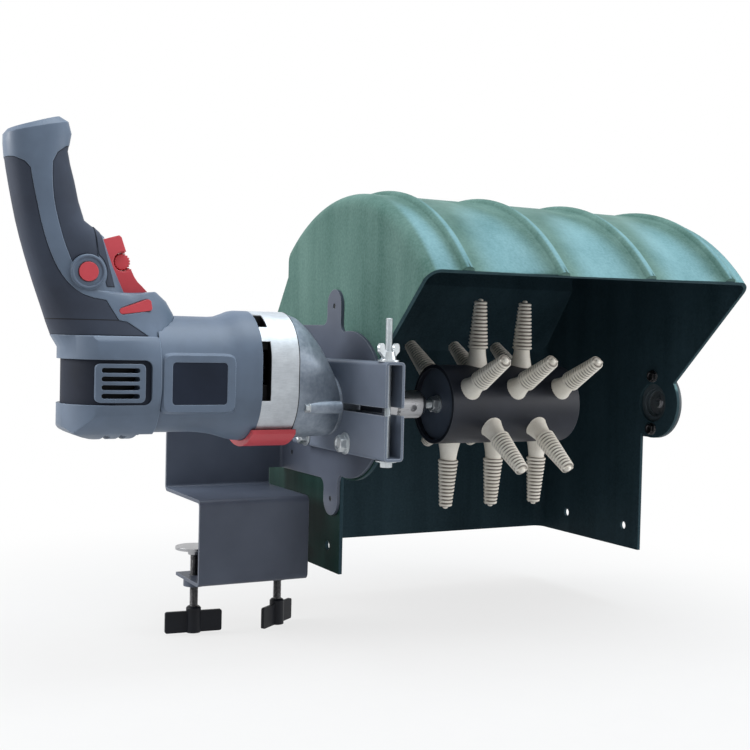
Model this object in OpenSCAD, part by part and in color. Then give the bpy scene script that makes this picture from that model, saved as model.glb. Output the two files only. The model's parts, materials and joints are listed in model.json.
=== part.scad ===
// Bench-clamped poultry plucker: a hand drill, held upside down by its neck in a
// split box-tube collar, turns a drum of ribbed rubber fingers under a moulded hood.
// Lengths are in millimetres. X runs along the drum from the drill to the tail
// bearing, Y to the back and Z up. The origin is the middle of the clamp's upper jaw,
// and the pieces are drawn round the drum axis and moved there by from_jaw().

/* [Hood] */
// Outer length between the two end walls
hood_len = 360; // [340:5:420]
// Thickness of the moulded wall
hood_wall = 3.5; // [2.5:0.1:5]
// Outer radius of the arched top
arch_r = 204; // [198:1:215]
// Arch centre behind the drum axis
arch_back = 25; // [15:1:35]
// Arch centre below the drum axis
arch_drop = 10; // [0:1:20]
// Outer back wall behind the drum axis
hood_back = 198; // [188:1:215]
// Open bottom edge below the drum axis
hood_drop = 159; // [145:1:180]
// Height of the crease where the back wall starts to lean forward
crease_z = 50; // [35:1:65]
// Foot of the short step between the leaning panel and the arch, behind the axis
step_y = 146; // [138:1:156]
// Height of that foot
step_z = 121; // [108:1:130]
// Front edge of the end walls behind the drum axis
front_edge = 17; // [12:1:25]
// Distance by which the slanted mouth passes below the drum axis
mouth_drop = 9; // [4:1:16]
// Outer fillet between end wall and arch
end_fillet = 14; // [8:1:20]
// Number of raised ribs round the arch
rib_count = 4; // [2:1:5]
// First rib from the drill end of the hood
rib_first = 38; // [25:1:50]
// Distance between ribs
rib_pitch = 98; // [70:1:100]
// Width of a rib
rib_w = 12; // [8:0.5:16]
// Height of a rib over the arch
rib_h = 4.5; // [2:0.5:5.5]
// Diameter of the fixing holes at the foot of the end walls
foot_hole_d = 9; // [6:0.5:11]
// Distance between the two foot holes of an end wall
foot_hole_pitch = 100; // [80:1:120]
// Front foot hole behind the front edge
foot_hole_in = 25; // [18:1:35]
// Foot holes above the bottom edge
foot_hole_up = 23; // [15:1:30]
// Radius of the round nose that carries the tail bearing
tail_nose_r = 37; // [35:1:42]

/* [Bench bracket] */
// Thickness of the bent steel sheet
sheet = 3; // [2:0.5:4]
// Inner radius of the bends
bend_r = 3; // [2:0.5:6]
// Radius of the mounting plate round the drum axis
plate_r = 67; // [62:1:72]
// Half height of the mounting plate and rear plate
plate_half = 72.5; // [70:0.5:80]
// Middle of the two ears behind the drum axis
ear_y = 32; // [31:1:36]
// Width of an ear
ear_w = 29; // [24:1:32]
// Reach of an ear from the drum axis
ear_reach = 105.5; // [100:0.5:112]
// Fillet at the root of an ear
ear_fillet = 8; // [4:1:10]
// Screw holes of the ears from the drum axis
ear_hole_z = 90; // [86:1:94]
// Rear screw holes of the plate behind the drum axis
rear_hole_y = 122; // [110:1:130]
// Rear screw holes of the plate above and below the drum axis
rear_hole_z = 55; // [48:1:60]
// Width of the bench jaw along the drum axis
jaw_w = 108; // [95:1:120]
// Gap between the bench jaw and the mounting plate
jaw_gap = 14; // [8:1:20]
// Front face of the bench jaw behind the drum axis
jaw_front = 48; // [40:1:55]
// Depth of the jaw from its front face to the rear plate
jaw_depth = 98; // [92:1:110]
// Height of the drum axis over the upper jaw
axis_height = 92; // [90:1:105]
// Height of the jaw from the upper jaw to its lower face
jaw_h = 76; // [70:1:90]
// Depth of the lower jaw
lower_jaw = 64; // [60:1:75]

/* [Bench screws] */
// Diameter of the clamp screws
screw_d = 8; // [7:0.5:10]
// Distance between the two clamp screws
screw_span = 85; // [72:1:90]
// Clamp screws behind the front face of the jaw
screw_in = 45; // [35:1:48]
// Diameter of the pads
pad_d = 36; // [28:1:40]
// Thickness of a pad
pad_t = 2.5; // [2:0.5:5]
// Gap between the pads and the upper jaw as shown
jaw_open = 46; // [40:1:48]
// Length of a clamp screw from the pad to the bottom of its handle
screw_len = 81; // [80:1:95]
// Width over the two wings of a screw handle
handle_w = 54; // [44:1:60]
// Height of the wings
handle_h = 20; // [16:1:22]
// Diameter of the weld bosses under the lower jaw
boss_d = 20; // [16:1:22]
// Height of the weld bosses
boss_h = 7; // [5:0.5:9]

/* [Collar clamp] */
// Height of the box tube
tube_h = 83; // [78:1:90]
// Width of the box tube along the drum axis
tube_w = 18; // [16:0.5:24]
// Wall of the box tube
tube_wall = 2.5; // [2:0.1:3]
// Front end of the box tube before the drum axis
tube_front = 105; // [98:1:115]
// Rear end of the box tube behind the drum axis
tube_rear = 80; // [72:1:95]
// Height of the clamping slot
slot_h = 6.5; // [4:0.5:8]
// Diameter of the drill's clamping neck
neck_d = 43; // [38:0.5:45]
// Diameter of the collar bolts
collar_bolt_d = 8; // [6:0.5:10]
// Front collar bolt before the drum axis
collar_bolt_front = 33; // [28:1:36]
// Rear collar bolt behind the drum axis
collar_bolt_rear = 50; // [46:1:60]
// Collar bolts below the drum axis
collar_bolt_drop = 32; // [31:0.5:33]
// Diameter of the wing-nut stud
stud_d = 6; // [5:0.5:8]
// Wing-nut stud before the drum axis
stud_front = 92; // [86:1:94]
// Top of the stud over the drum axis
stud_top = 78; // [70:1:84]

/* [Drum] */
// Outer diameter of the drum pipe
drum_d = 75; // [70:1:80]
// Wall of the drum pipe
drum_wall = 3.5; // [2.5:0.5:5]
// Length of the drum pipe
drum_len = 144; // [138:1:150]
// Drum's near end from the mounting plate
drum_x = 90.5; // [89:0.5:100]
// Angle of the drum as shown
drum_turn = 3.8; // [0:0.1:59]
// Thickness of the end discs
cap_t = 3; // [2:0.5:4]
// Depth of the end discs inside the pipe
cap_in = 5; // [4:0.5:6]
// Diameter of the drum shaft
shaft_d = 8; // [6:0.5:10]
// Shaft past the far end disc
shaft_tail = 14; // [12:1:20]

/* [Rubber fingers] */
// Rows of fingers round the drum
finger_rows = 6; // [4:2:6]
// Distance between fingers in a row
finger_pitch = 51.5; // [44:0.5:54]
// Finger length outside the drum
finger_len = 64; // [55:1:75]
// Diameter of the finger foot
finger_foot_d = 21; // [19:0.5:22]
// Diameter of the smooth neck at its end
finger_neck_d = 14; // [12:0.5:17]
// Length of the smooth neck
finger_neck = 16; // [12:1:22]
// Diameter of the first rib
finger_rib_d = 19.5; // [16:0.5:21]
// Diameter of the last rib
finger_tip_d = 12.5; // [10:0.5:14]
// Ribs on a finger
finger_ribs = 13; // [8:1:16]
// Depth of the grooves between the ribs
finger_groove = 1.4; // [0.8:0.1:2]
// Diameter of the holes in the drum
finger_hole_d = 17; // [15:0.5:18]
// Diameter of the flange that holds a finger inside the drum
finger_flange_d = 19; // [18.5:0.5:20]

/* [Chuck] */
// Diameter of the chuck nose
nose_d = 26; // [24:0.5:30]
// Length of the chuck nose
nose_len = 32; // [28:1:34]
// Diameter of the toothed chuck sleeve
sleeve_d = 43; // [38:0.5:45]
// Length of the chuck sleeve
sleeve_len = 24; // [18:1:26]
// Gap between the chuck nose and the drum pipe
chuck_gap = 13; // [12:0.5:16]

/* [Drill] */
// Height of the motor axis over the drum axis
motor_z = 34; // [33:0.5:36]
// Half width of the motor housing
barrel_r = 42; // [41:0.5:44]
// Lower centre of the rounded housing over the drum axis
barrel_low = 20; // [18:0.5:22]
// Joint between handle shells and motor housing, before the mounting plate
seam_x = 189; // [187:0.5:192]
// Rear of the drill before the mounting plate
rear_x = 262; // [260:0.5:264]
// Half width of the gear-case ring
ring_r = 44; // [43.5:0.5:45]
// Rear face of the gear-case ring before the mounting plate
ring_x = 102; // [100:0.5:104]
// Length of the gear-case ring
ring_len = 34; // [33:0.5:36]
// Bore of the motor housing and stator seat
stator_d = 74; // [70:0.5:75]
// Bore of the stator
stator_bore = 47; // [44:0.5:48]
// Diameter of the armature core
armature_d = 45; // [42:0.5:46]
// Diameter of the spindle
spindle_d = 16; // [14:0.5:18]
// Depth of the rubber grips
grip_t = 2.2; // [1.5:0.1:3]
// Diameter of the lock button
lock_d = 15.5; // [13:0.5:17]
// Half width of the trigger
trigger_half = 11; // [9:0.5:12]
// Travel of the trigger
trigger_travel = 7; // [4:0.5:8]
// Diameter of the speed wheel in the trigger
wheel_d = 14; // [12:0.5:15]
// Half length of the direction lever over both ends
lever_half = 27; // [26:0.5:30]
// Thickness of the mode selector
selector_t = 5; // [4:0.5:6]

/* [Tail bearing] */
// Diameter of the tail bearing's round boss
tail_boss_d = 39; // [36:0.5:42]
// Bearing bolts above and below the drum axis
tail_bolt_z = 27.7; // [27:0.1:29]
// Diameter of the bearing bolts
tail_bolt_d = 6; // [5:0.5:7]
// Thickness of the bearing's flange
tail_flange = 6; // [5:0.5:8]
// Diameter of the stub shaft
stub_d = 11; // [8:0.5:12]
// Diameter of the opening in the hood before the bearing
tail_hole_d = 40; // [34:1:42]

/* [Fits] */
// Radial clearance of a turning or sliding fit
running = 0.05; // [0.02:0.01:0.1]
// Clearance between pieces that move past each other
clear = 0.4; // [0.3:0.05:0.6]
// Radial clearance of a bolt in its hole
bolt_clear = 0.3; // [0.2:0.05:0.5]

/* [Hidden] */
$fn = 48;
past = 1;

// Bracket and jaw
rear_y = jaw_front + jaw_depth;
jaw_x1 = -jaw_gap;
jaw_x0 = jaw_x1 - jaw_w;
jaw_mid = (jaw_x0 + jaw_x1) / 2;
jaw_bottom = -axis_height - jaw_h;
hood_x0 = sheet;
hood_x1 = hood_x0 + hood_len;
nose_gap = 2;
plate_hole_d = sleeve_d + 7;

// Bench screws
screw_y = jaw_front + screw_in;
pad_top = -axis_height - jaw_open;
screw_bottom = pad_top - screw_len;
hub_d = 14;
pad_boss_h = 5;

// Collar
tube_mid = -tube_w / 2;
washer_t = 1.6;
bolt_head = 6;

// Drum
drum_r = drum_d / 2;
drum_ri = drum_r - drum_wall;
drum_mid = drum_x + drum_len / 2;
disc_x0 = drum_x + cap_in;
disc_x1 = drum_x + drum_len - cap_in;
finger_max = 3;
nut_t = 6.5;
hex_ratio = 2 / sqrt(3);

// Chuck
chuck_end = drum_x - chuck_gap;
sleeve_x1 = chuck_end - nose_len;
sleeve_x0 = sleeve_x1 - sleeve_len;
chuck_x0 = 8;
chuck_core_d = 32;

// Drill
ring_x1 = -ring_x + ring_len;
ring_low = -30 + ring_r;
ring_high = 82 - ring_r;
gear_teeth = 28;
pinion_teeth = 12;
gear_module = 2 * motor_z / (gear_teeth + pinion_teeth);
gear_x0 = ring_x1 - 17;
gear_x1 = ring_x1 - 3;
wall_x0 = -ring_x + 10;
wall_x1 = wall_x0 + 6;
bearing_d = 22;
journal_d = 8;
neck_bearing_d = 32;
fan_x0 = -ring_x - 6;
fan_x1 = wall_x0 - 3;
stator_x0 = -seam_x + 10;
stator_x1 = stator_x0 + 56;
plan_x = -rear_x + barrel_r + 1;

// Handle of the drill: X and Z of the back and front edge of each station, and half width
HANDLE = [
    [-304, 218, -264, 231.5, 14],
    [-307, 214, -257, 227.5, 18.5],
    [-307, 207, -254.5, 218, 19.5],
    [-306, 196, -257, 204, 19.5],
    [-303, 178, -251.5, 181, 19.5],
    [-297, 148, -243, 150, 19.5],
    [-290, 122, -227, 138, 20],
    [-282, 97, -208.5, 92, 21.5],
    [-275, 77, -183.5, 95.5, 25],
    [-268, 58, -168.5, 77, 30],
    [-258, 42, -167, 60, 36]];
// Stations from which the handle is curved, with one more between each two but in the trigger's hollow
HANDLE_BENT = 3;
HANDLE_HOLLOW = 7;
HANDLE_SIDES = 28;
HANDLE_POWER = 2.6;

// Trigger frame: middle of its seat, and its angle to X
trigger_at = [-217, 116];
trigger_tilt = 17.4;
trigger_low = -24.3;
trigger_high = 22.5;
trigger_out = 9;
trigger_root = 9;
trigger_fall = 3.5;
wheel_at = [5, 1];
wheel_w = 7;
lock_at = [-244, 108.6];
lever_at = [-206.5, 81.5];
gear_turn = 180 / gear_teeth;
grip_sunk = 0.35;

module from_jaw() {
    translate([-jaw_mid, -jaw_front - jaw_depth / 2, axis_height]) children();
}

// Outline in Y and Z, pulled along X
module along_x(x0, x1) {
    translate([x0, 0, 0]) rotate([90, 0, 90]) linear_extrude(x1 - x0) children();
}

// Outline in X and Z, pulled along Y
module across_y(y0, y1) {
    translate([0, y1, 0]) rotate([90, 0, 0]) linear_extrude(y1 - y0) children();
}

// Outline of radius and X, turned round an axis along X
module turn_x(z = 0) {
    translate([0, 0, z]) rotate([0, 90, 0]) rotate_extrude() children();
}

module rod_x(d, x0, x1, y = 0, z = 0) {
    translate([x0, y, z]) rotate([0, 90, 0]) cylinder(d = d, h = x1 - x0);
}

module rod_y(d, y0, y1, x, z) {
    translate([x, y1, z]) rotate([90, 0, 0]) cylinder(d = d, h = y1 - y0);
}

module rod_z(d, z0, z1, x, y) {
    translate([x, y, z0]) cylinder(d = d, h = z1 - z0);
}

module ring_x_part(od, id, x0, x1, y = 0, z = 0) {
    difference() {
        rod_x(od, x0, x1, y, z);
        rod_x(id, x0 - past, x1 + past, y, z);
    }
}

module hex_x(af, x0, x1, y = 0, z = 0) {
    translate([x0, y, z]) rotate([0, 90, 0]) cylinder(d = af * hex_ratio, h = x1 - x0, $fn = 6);
}

// Rounded bar with its round ends above each other
module capsule_2d(r, low, high) {
    translate([0, low]) circle(r);
    translate([0, high]) circle(r);
    translate([-r, low]) square([2 * r, high - low]);
}

module rounded_2d(w, h, r) {
    translate([-w / 2 + r, -h / 2]) square([w - 2 * r, h]);
    translate([-w / 2, -h / 2 + r]) square([w, h - 2 * r]);
    for (x = [-1, 1], y = [-1, 1])
        translate([x * (w / 2 - r), y * (h / 2 - r)]) circle(r);
}

// Closed skin through rings that all have the same number of points
module loft(rings) {
    n = len(rings[0]);
    m = len(rings);
    points = [for (ring = rings, p = ring) p];
    walls = [for (k = [0 : m - 2], i = [0 : n - 1], t = [0, 1])
        let (a = k * n + i, b = k * n + (i + 1) % n)
        t == 0 ? [a, b, b + n] : [a, b + n, a + n]];
    first = [for (i = [n - 1 : -1 : 0]) i];
    last = [for (i = [0 : n - 1]) (m - 1) * n + i];
    polyhedron(points, concat(walls, [first, last]), convexity = 6);
}

// Hood

module arch_section(inset) {
    r = arch_r - inset;
    f = end_fillet - inset;
    translate([0, hood_x0 + inset]) square([r - f, hood_len - 2 * inset]);
    translate([0, hood_x0 + inset + f]) square([r, hood_len - 2 * inset - 2 * f]);
    for (x = [hood_x0 + inset + f, hood_x1 - inset - f])
        translate([r - f, x]) circle(f);
}

module arch_range(inset) {
    translate([hood_x0 - past, -2 * arch_r, -plate_r - 8])
        cube([hood_len + 2 * past, 2 * arch_r + step_y - inset, 3 * arch_r]);
}

// Back wall, leaning panel and the end walls under the arch
module back_outline(inset) {
    panel = norm([hood_back - step_y, step_z - crease_z]);
    lower = inset * (1 - (step_z - crease_z) / panel) * panel / (hood_back - step_y);
    floor_z = -hood_drop - (inset > 0 ? past : 0);
    polygon([[0, floor_z], [hood_back - inset, floor_z], [hood_back - inset, crease_z - lower],
        [step_y - inset, step_z - lower], [0, step_z - lower]]);
}

module hood_plan(inset) {
    f = end_fillet - inset;
    x0 = hood_x0 + inset;
    x1 = hood_x1 - inset;
    translate([x0, -2 * arch_r]) square([x1 - x0, 2 * arch_r + hood_back - inset - f]);
    translate([x0 + f, 0]) square([x1 - x0 - 2 * f, hood_back - inset]);
    for (x = [x0 + f, x1 - f])
        translate([x, hood_back - inset - f]) circle(f);
}

module hood_form(inset) {
    intersection() {
        union() {
            intersection() {
                translate([0, arch_back, -arch_drop]) turn_x() arch_section(inset);
                arch_range(inset);
            }
            along_x(hood_x0 + inset, hood_x1 - inset) back_outline(inset);
        }
        translate([0, 0, -2 * hood_drop]) linear_extrude(4 * arch_r) hood_plan(inset);
    }
}

module hood_ribs() {
    rib_r = (rib_w * rib_w / 4 + rib_h * rib_h) / (2 * rib_h);
    intersection() {
        translate([0, arch_back, -arch_drop]) turn_x()
            for (i = [0 : rib_count - 1])
                translate([arch_r + rib_h - rib_r, hood_x0 + rib_first + i * rib_pitch]) circle(rib_r);
        arch_range(0);
    }
}

// Space before the slanted mouth and the front edges, apart from a round nose
module mouth_cut(x0, x1, nose_r) {
    difference() {
        along_x(x0, x1) polygon([[front_edge, -2 * hood_drop], [front_edge, -mouth_drop - front_edge],
            [-3 * arch_r, 3 * arch_r - mouth_drop], [-4 * arch_r, 3 * arch_r],
            [-4 * arch_r, -2 * hood_drop]]);
        rod_x(2 * nose_r, x0 - past, x1 + past);
    }
}

module hood_screw_places() {
    for (s = [-1, 1]) {
        translate([0, ear_y, s * ear_hole_z]) children();
        translate([0, rear_hole_y, s * rear_hole_z]) children();
    }
}

module collar_bolt_places() {
    for (y = [-collar_bolt_front, collar_bolt_rear])
        translate([0, y, -collar_bolt_drop]) children();
}

hood_screw_d = 5;

module hood() {
    middle = (hood_x0 + hood_x1) / 2;
    color("darkgreen") from_jaw() difference() {
        union() {
            hood_form(0);
            hood_ribs();
        }
        hood_form(hood_wall);
        mouth_cut(hood_x0 - past, middle, plate_r + 2);
        mouth_cut(middle, hood_x1 + past, tail_nose_r);
        rod_x(plate_hole_d, hood_x0 - past, hood_x0 + hood_wall + past);
        hood_screw_places()
            rod_x(hood_screw_d + 2 * bolt_clear, hood_x0 - past, hood_x0 + hood_wall + past);
        collar_bolt_places()
            rod_x(collar_bolt_d + 2 * bolt_clear, hood_x0 - past, hood_x0 + hood_wall + past);
        for (x = [hood_x0, hood_x1 - hood_wall], i = [0, 1])
            rod_x(foot_hole_d, x - past, x + hood_wall + past,
                front_edge + foot_hole_in + i * foot_hole_pitch, -hood_drop + foot_hole_up);
        rod_x(tail_hole_d, hood_x1 - hood_wall - past, hood_x1 + past);
        tail_bolt_places() rod_x(tail_bolt_d + 2 * bolt_clear, hood_x1 - hood_wall - past, hood_x1 + past);
    }
}

module hood_screws() {
    inner = hood_x0 + hood_wall;
    color("dimgray") from_jaw() hood_screw_places() {
        rod_x(hood_screw_d, sheet * 0.2, inner + 0.5);
        rod_x(2 * hood_screw_d, inner, inner + 2.8);
    }
}

// Tail bearing outside the far end wall

module tail_bolt_places() {
    for (s = [-1, 1])
        translate([0, 0, s * tail_bolt_z]) children();
}

module tail_plate() {
    color("gray") from_jaw() difference() {
        along_x(hood_x1, tail_x0) {
            circle(tail_nose_r);
            translate([0, -tail_nose_r]) square([front_edge + 28, 2 * tail_nose_r]);
        }
        rod_x(tail_ring_d + 5, hood_x1 - past, tail_x0 + past);
        tail_bolt_places() rod_x(tail_bolt_d + 2 * bolt_clear, hood_x1 - past, tail_x0 + past);
    }
}

tail_x0 = hood_x1 + sheet;
tail_x1 = tail_x0 + tail_flange;
tail_boss = 9;
tail_ring_d = 24;

// Two-bolt flange with a round foot and an eight-sided seal collar
module tail_bearing_housing() {
    lobe_r = tail_bolt_d + 2;
    color("black") from_jaw() difference() {
        union() {
            along_x(tail_x0, tail_x1) {
                circle(d = tail_boss_d);
                for (s = [-1, 1])
                    translate([0, s * tail_bolt_z]) circle(lobe_r);
                translate([-lobe_r, -tail_bolt_z]) square([2 * lobe_r, 2 * tail_bolt_z]);
            }
            translate([tail_x1 - past, 0, 0]) rotate([0, 90, 0]) rotate(22.5)
                cylinder(d = tail_boss_d - 2, h = tail_boss + past, $fn = 8);
        }
        rod_x(tail_ring_d + 2 * running, tail_x0 - past, tail_x1 + tail_boss + past);
        tail_bolt_places() rod_x(tail_bolt_d + 2 * bolt_clear, tail_x0 - past, tail_x1 + past);
    }
}

module tail_bolts() {
    inner = hood_x1 - hood_wall;
    color("silver") from_jaw() tail_bolt_places() {
        rod_x(tail_bolt_d, inner - past, tail_x1 + 8);
        rod_x(2.1 * tail_bolt_d, inner - 1, inner);
        hex_x(10, inner - 5, inner - 0.9);
    }
}

module tail_nuts() {
    color("silver") from_jaw() tail_bolt_places()
        difference() {
            hex_x(10, tail_x1, tail_x1 + 5);
            rod_x(tail_bolt_d, tail_x1 - past, tail_x1 + 6);
        }
}

module tail_bearing_ring() {
    color("silver") from_jaw()
        ring_x_part(tail_ring_d, stub_d, tail_x0 + 1, tail_x1 + tail_boss - 2);
}

module tail_stub() {
    color("gainsboro") from_jaw()
        rod_x(stub_d, tail_x0 - 1, tail_x1 + tail_boss + 2);
}

// Bench bracket: one bent sheet from mounting plate to lower jaw

module bend_2d(y, z, angle) {
    translate([y, z]) rotate(angle) intersection() {
        difference() {
            circle(bend_r + sheet);
            circle(bend_r);
        }
        square(bend_r + sheet);
    }
}

module jaw_2d() {
    upper = -axis_height;
    r = bend_r;
    translate([rear_y, upper + sheet + r]) square([sheet, plate_half - upper - sheet - r]);
    bend_2d(rear_y - r, upper + sheet + r, -90);
    translate([jaw_front + sheet + r, upper]) square([rear_y - jaw_front - sheet - 2 * r, sheet]);
    bend_2d(jaw_front + sheet + r, upper - r, 90);
    translate([jaw_front, jaw_bottom + sheet + r]) square([sheet, upper - jaw_bottom - sheet - 2 * r]);
    bend_2d(jaw_front + sheet + r, jaw_bottom + sheet + r, 180);
    translate([jaw_front + sheet + r, jaw_bottom]) square([lower_jaw - sheet - r, sheet]);
}

module plate_2d() {
    circle(plate_r);
    translate([ear_y, -plate_half]) square([rear_y - bend_r - ear_y, 2 * plate_half]);
    for (s = [-1, 1]) {
        translate([ear_y, s * (ear_reach - ear_w / 2)]) circle(ear_w / 2);
        translate([ear_y - ear_w / 2, min(0, s * (ear_reach - ear_w / 2))])
            square([ear_w, ear_reach - ear_w / 2]);
        ear_root(s, 1, plate_half);
        ear_root(s, -1, sqrt(pow(plate_r, 2) - pow(ear_y - ear_w / 2 - ear_fillet / 2, 2)));
    }
}

// Concave fillet beside an ear, on its rear (side 1) or front (side -1)
module ear_root(s, side, height) {
    translate([ear_y + side * ear_w / 2, s * height]) difference() {
        translate([side > 0 ? -past : -ear_fillet, s > 0 ? -past : -ear_fillet])
            square(ear_fillet + past);
        translate([side * ear_fillet, s * ear_fillet]) circle(ear_fillet);
    }
}

module bench_bracket() {
    color("slategray") from_jaw() difference() {
        union() {
            along_x(jaw_x0, jaw_x1) jaw_2d();
            along_x(0, sheet) plate_2d();
            translate([jaw_x1 - past, rear_y, -plate_half])
                cube([jaw_gap + past - bend_r, sheet, 2 * plate_half]);
            translate([-bend_r, rear_y - bend_r, -plate_half]) linear_extrude(2 * plate_half)
                intersection() {
                    difference() {
                        circle(bend_r + sheet);
                        circle(bend_r);
                    }
                    square(bend_r + sheet);
                }
        }
        rod_x(plate_hole_d, -past, sheet + past);
        hood_screw_places() rod_x(hood_screw_d, -past, sheet + past);
        collar_bolt_places() rod_x(collar_bolt_d + 2 * bolt_clear, -past, sheet + past);
        for (s = [-1, 1])
            rod_z(screw_d + 2 * clear, jaw_bottom - past, jaw_bottom + sheet + past,
                jaw_mid + s * screw_span / 2, screw_y);
    }
}

module weld_bosses() {
    color("slategray") from_jaw() for (s = [-1, 1])
        difference() {
            rod_z(boss_d, jaw_bottom - boss_h, jaw_bottom, jaw_mid + s * screw_span / 2, screw_y);
            rod_z(screw_d + 2 * running, jaw_bottom - boss_h - past, jaw_bottom + past,
                jaw_mid + s * screw_span / 2, screw_y);
        }
}

// Bench screws, s = -1 on the drill side and 1 on the hood side

module bench_pad(s) {
    x = jaw_mid + s * screw_span / 2;
    color("silver") from_jaw() difference() {
        union() {
            rod_z(pad_d, pad_top - pad_t, pad_top, x, screw_y);
            translate([x, screw_y, pad_top - pad_t - pad_boss_h])
                cylinder(d1 = screw_d + 4, d2 = screw_d + 6, h = pad_boss_h + past);
        }
        rod_z(screw_d + 2 * running, pad_top - pad_t - pad_boss_h - past, pad_top - pad_t + past, x, screw_y);
    }
}

module bench_screw(s) {
    color("silver") from_jaw()
        rod_z(screw_d, screw_bottom + 2, pad_top - pad_t, jaw_mid + s * screw_span / 2, screw_y);
}

// Moulded hub with two wings, turned to the angle it is left at
module bench_handle(s, angle) {
    wing_t = 3.2;
    color("black") from_jaw() translate([jaw_mid + s * screw_span / 2, screw_y, screw_bottom]) rotate(angle)
        difference() {
            union() {
                cylinder(d = hub_d, h = handle_h + 3);
                translate([0, 0, handle_h + 3]) cylinder(d1 = hub_d, d2 = hub_d - 3, h = 1.5);
                translate([0, wing_t / 2, handle_h / 2]) rotate([90, 0, 0])
                    linear_extrude(wing_t) rounded_2d(handle_w, handle_h, 2);
            }
            translate([0, 0, 2]) cylinder(d = screw_d, h = handle_h + 10);
        }
}

module pad_left() { bench_pad(-1); }
module pad_right() { bench_pad(1); }
module screw_left() { bench_screw(-1); }
module screw_right() { bench_screw(1); }
module screw_handle_left() { bench_handle(-1, -6); }
module screw_handle_right() { bench_handle(1, 37); }

// Split collar for the drill's neck

module collar_tube() {
    corner = tube_wall + 1;
    color("slategray") from_jaw() difference() {
        across_y(-tube_front, tube_rear) translate([tube_mid, 0]) rounded_2d(tube_w, tube_h, corner);
        across_y(-tube_front - past, tube_rear + past)
            translate([tube_mid, 0]) rounded_2d(tube_w - 2 * tube_wall, tube_h - 2 * tube_wall, 1);
        rod_x(neck_d, -tube_w - past, past);
        translate([-tube_w - past, -tube_front - past, -slot_h / 2])
            cube([tube_w + 2 * past, tube_front + past, slot_h]);
        rod_z(stud_d + 2 * bolt_clear, -tube_h, tube_h, tube_mid, -stud_front);
        collar_bolt_places() rod_x(collar_bolt_d + 2 * bolt_clear, -tube_w - past, past);
    }
}

module collar_bolts() {
    inner = hood_x0 + hood_wall;
    color("silver") from_jaw() collar_bolt_places() {
        rod_x(collar_bolt_d, -tube_w - past, inner + 11);
        rod_x(2.2 * collar_bolt_d, -tube_w - 1.8, -tube_w);
        hex_x(1.65 * collar_bolt_d, -tube_w - 1.8 - bolt_head, -tube_w - 1.7);
    }
}

module collar_nuts() {
    inner = hood_x0 + hood_wall;
    color("silver") from_jaw() collar_bolt_places()
        difference() {
            union() {
                rod_x(2.1 * collar_bolt_d, inner, inner + 1.5);
                hex_x(1.65 * collar_bolt_d, inner + 1.4, inner + 8);
            }
            rod_x(collar_bolt_d, inner - past, inner + 9);
        }
}

module clamp_stud() {
    foot = -tube_h / 2;
    color("silver") from_jaw() {
        rod_z(stud_d, foot - 2, stud_top, tube_mid, -stud_front);
        rod_z(3 * stud_d, foot - washer_t, foot, tube_mid, -stud_front);
        translate([tube_mid, -stud_front, foot - washer_t - 4])
            cylinder(d = 1.65 * stud_d * hex_ratio, h = 4.1, $fn = 6);
    }
}

module clamp_washer() {
    color("silver") from_jaw() difference() {
        rod_z(3 * stud_d, tube_h / 2, tube_h / 2 + washer_t, tube_mid, -stud_front);
        rod_z(stud_d + 2 * running, tube_h / 2 - past, tube_h / 2 + washer_t + past, tube_mid, -stud_front);
    }
}

module wing_nut() {
    hub_h = 7;
    wing_h = 14;
    wing_t = 2.6;
    color("silver") from_jaw() translate([tube_mid, -stud_front, tube_h / 2 + washer_t]) rotate(28)
        difference() {
            union() {
                cylinder(d1 = 2.2 * stud_d, d2 = 1.75 * stud_d, h = hub_h);
                for (s = [0, 180])
                    rotate(s) translate([0, wing_t / 2, 0]) rotate([90, 0, 0]) linear_extrude(wing_t) {
                        polygon([[stud_d * 0.6, 1], [stud_d * 1.1, 1], [15, wing_h - 7], [15, wing_h - 4],
                            [9, wing_h - 4], [stud_d * 0.6, hub_h]]);
                        translate([11.2, wing_h - 4]) circle(4);
                    }
            }
            translate([0, 0, -past]) cylinder(d = stud_d + 2 * running, h = wing_h + 2 * past);
        }
}

// Drill: shells, grips and controls

function handle_ring(s, inset) = let (
    back = [s[0], s[1]],
    front = [s[2], s[3]],
    mid = (back + front) / 2,
    half = norm(front - back) / 2 - inset,
    dir = (front - back) / norm(front - back),
    wide = s[4] - inset)
    [for (i = [0 : HANDLE_SIDES - 1])
        let (a = 360 * (i + 0.5) / HANDLE_SIDES,
            u = sign(cos(a)) * pow(abs(cos(a)), 2 / HANDLE_POWER) * half,
            v = sign(sin(a)) * pow(abs(sin(a)), 2 / HANDLE_POWER) * wide)
        [mid[0] + dir[0] * u, v, mid[1] + dir[1] * u]];

// Station halfway between two, on a smooth curve through four
function between(k) = (9 * (HANDLE[k] + HANDLE[k + 1]) - HANDLE[k - 1] - HANDLE[k + 2]) / 16;

// The inner form of the handle starts one station later and ends a little deeper
module handle_loft(inset) {
    first = inset > 1 ? 1 : 0;
    last = len(HANDLE) - 1;
    drop = max(0, 2 * inset);
    foot = HANDLE[last] - [0, drop, 0, drop, 0];
    stations = [for (k = [first : last - 1], half = [0, 1])
        if (half == 0 || (k >= HANDLE_BENT && k != HANDLE_HOLLOW && k < last - 1))
            half == 0 ? HANDLE[k] : between(k)];
    loft([for (s = concat(stations, [foot])) handle_ring(s, inset)]);
}

// Open path with its inner corners cut off
function cut_corners(p) = concat([p[0]],
    [for (i = [0 : len(p) - 2], t = [0.25, 0.75]) p[i] * (1 - t) + p[i + 1] * t],
    [p[len(p) - 1]]);

module rear_grip_area() {
    polygon(concat(cut_corners(cut_corners([[-345, 197], [-291, 197], [-286.5, 172], [-278, 135], [-266, 106],
        [-251, 91.5], [-240, 88]])), [[-230, 86.5], [-220.5, 70.5], [-214, 69.5], [-197, 58], [-345, 58]]));
}

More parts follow.
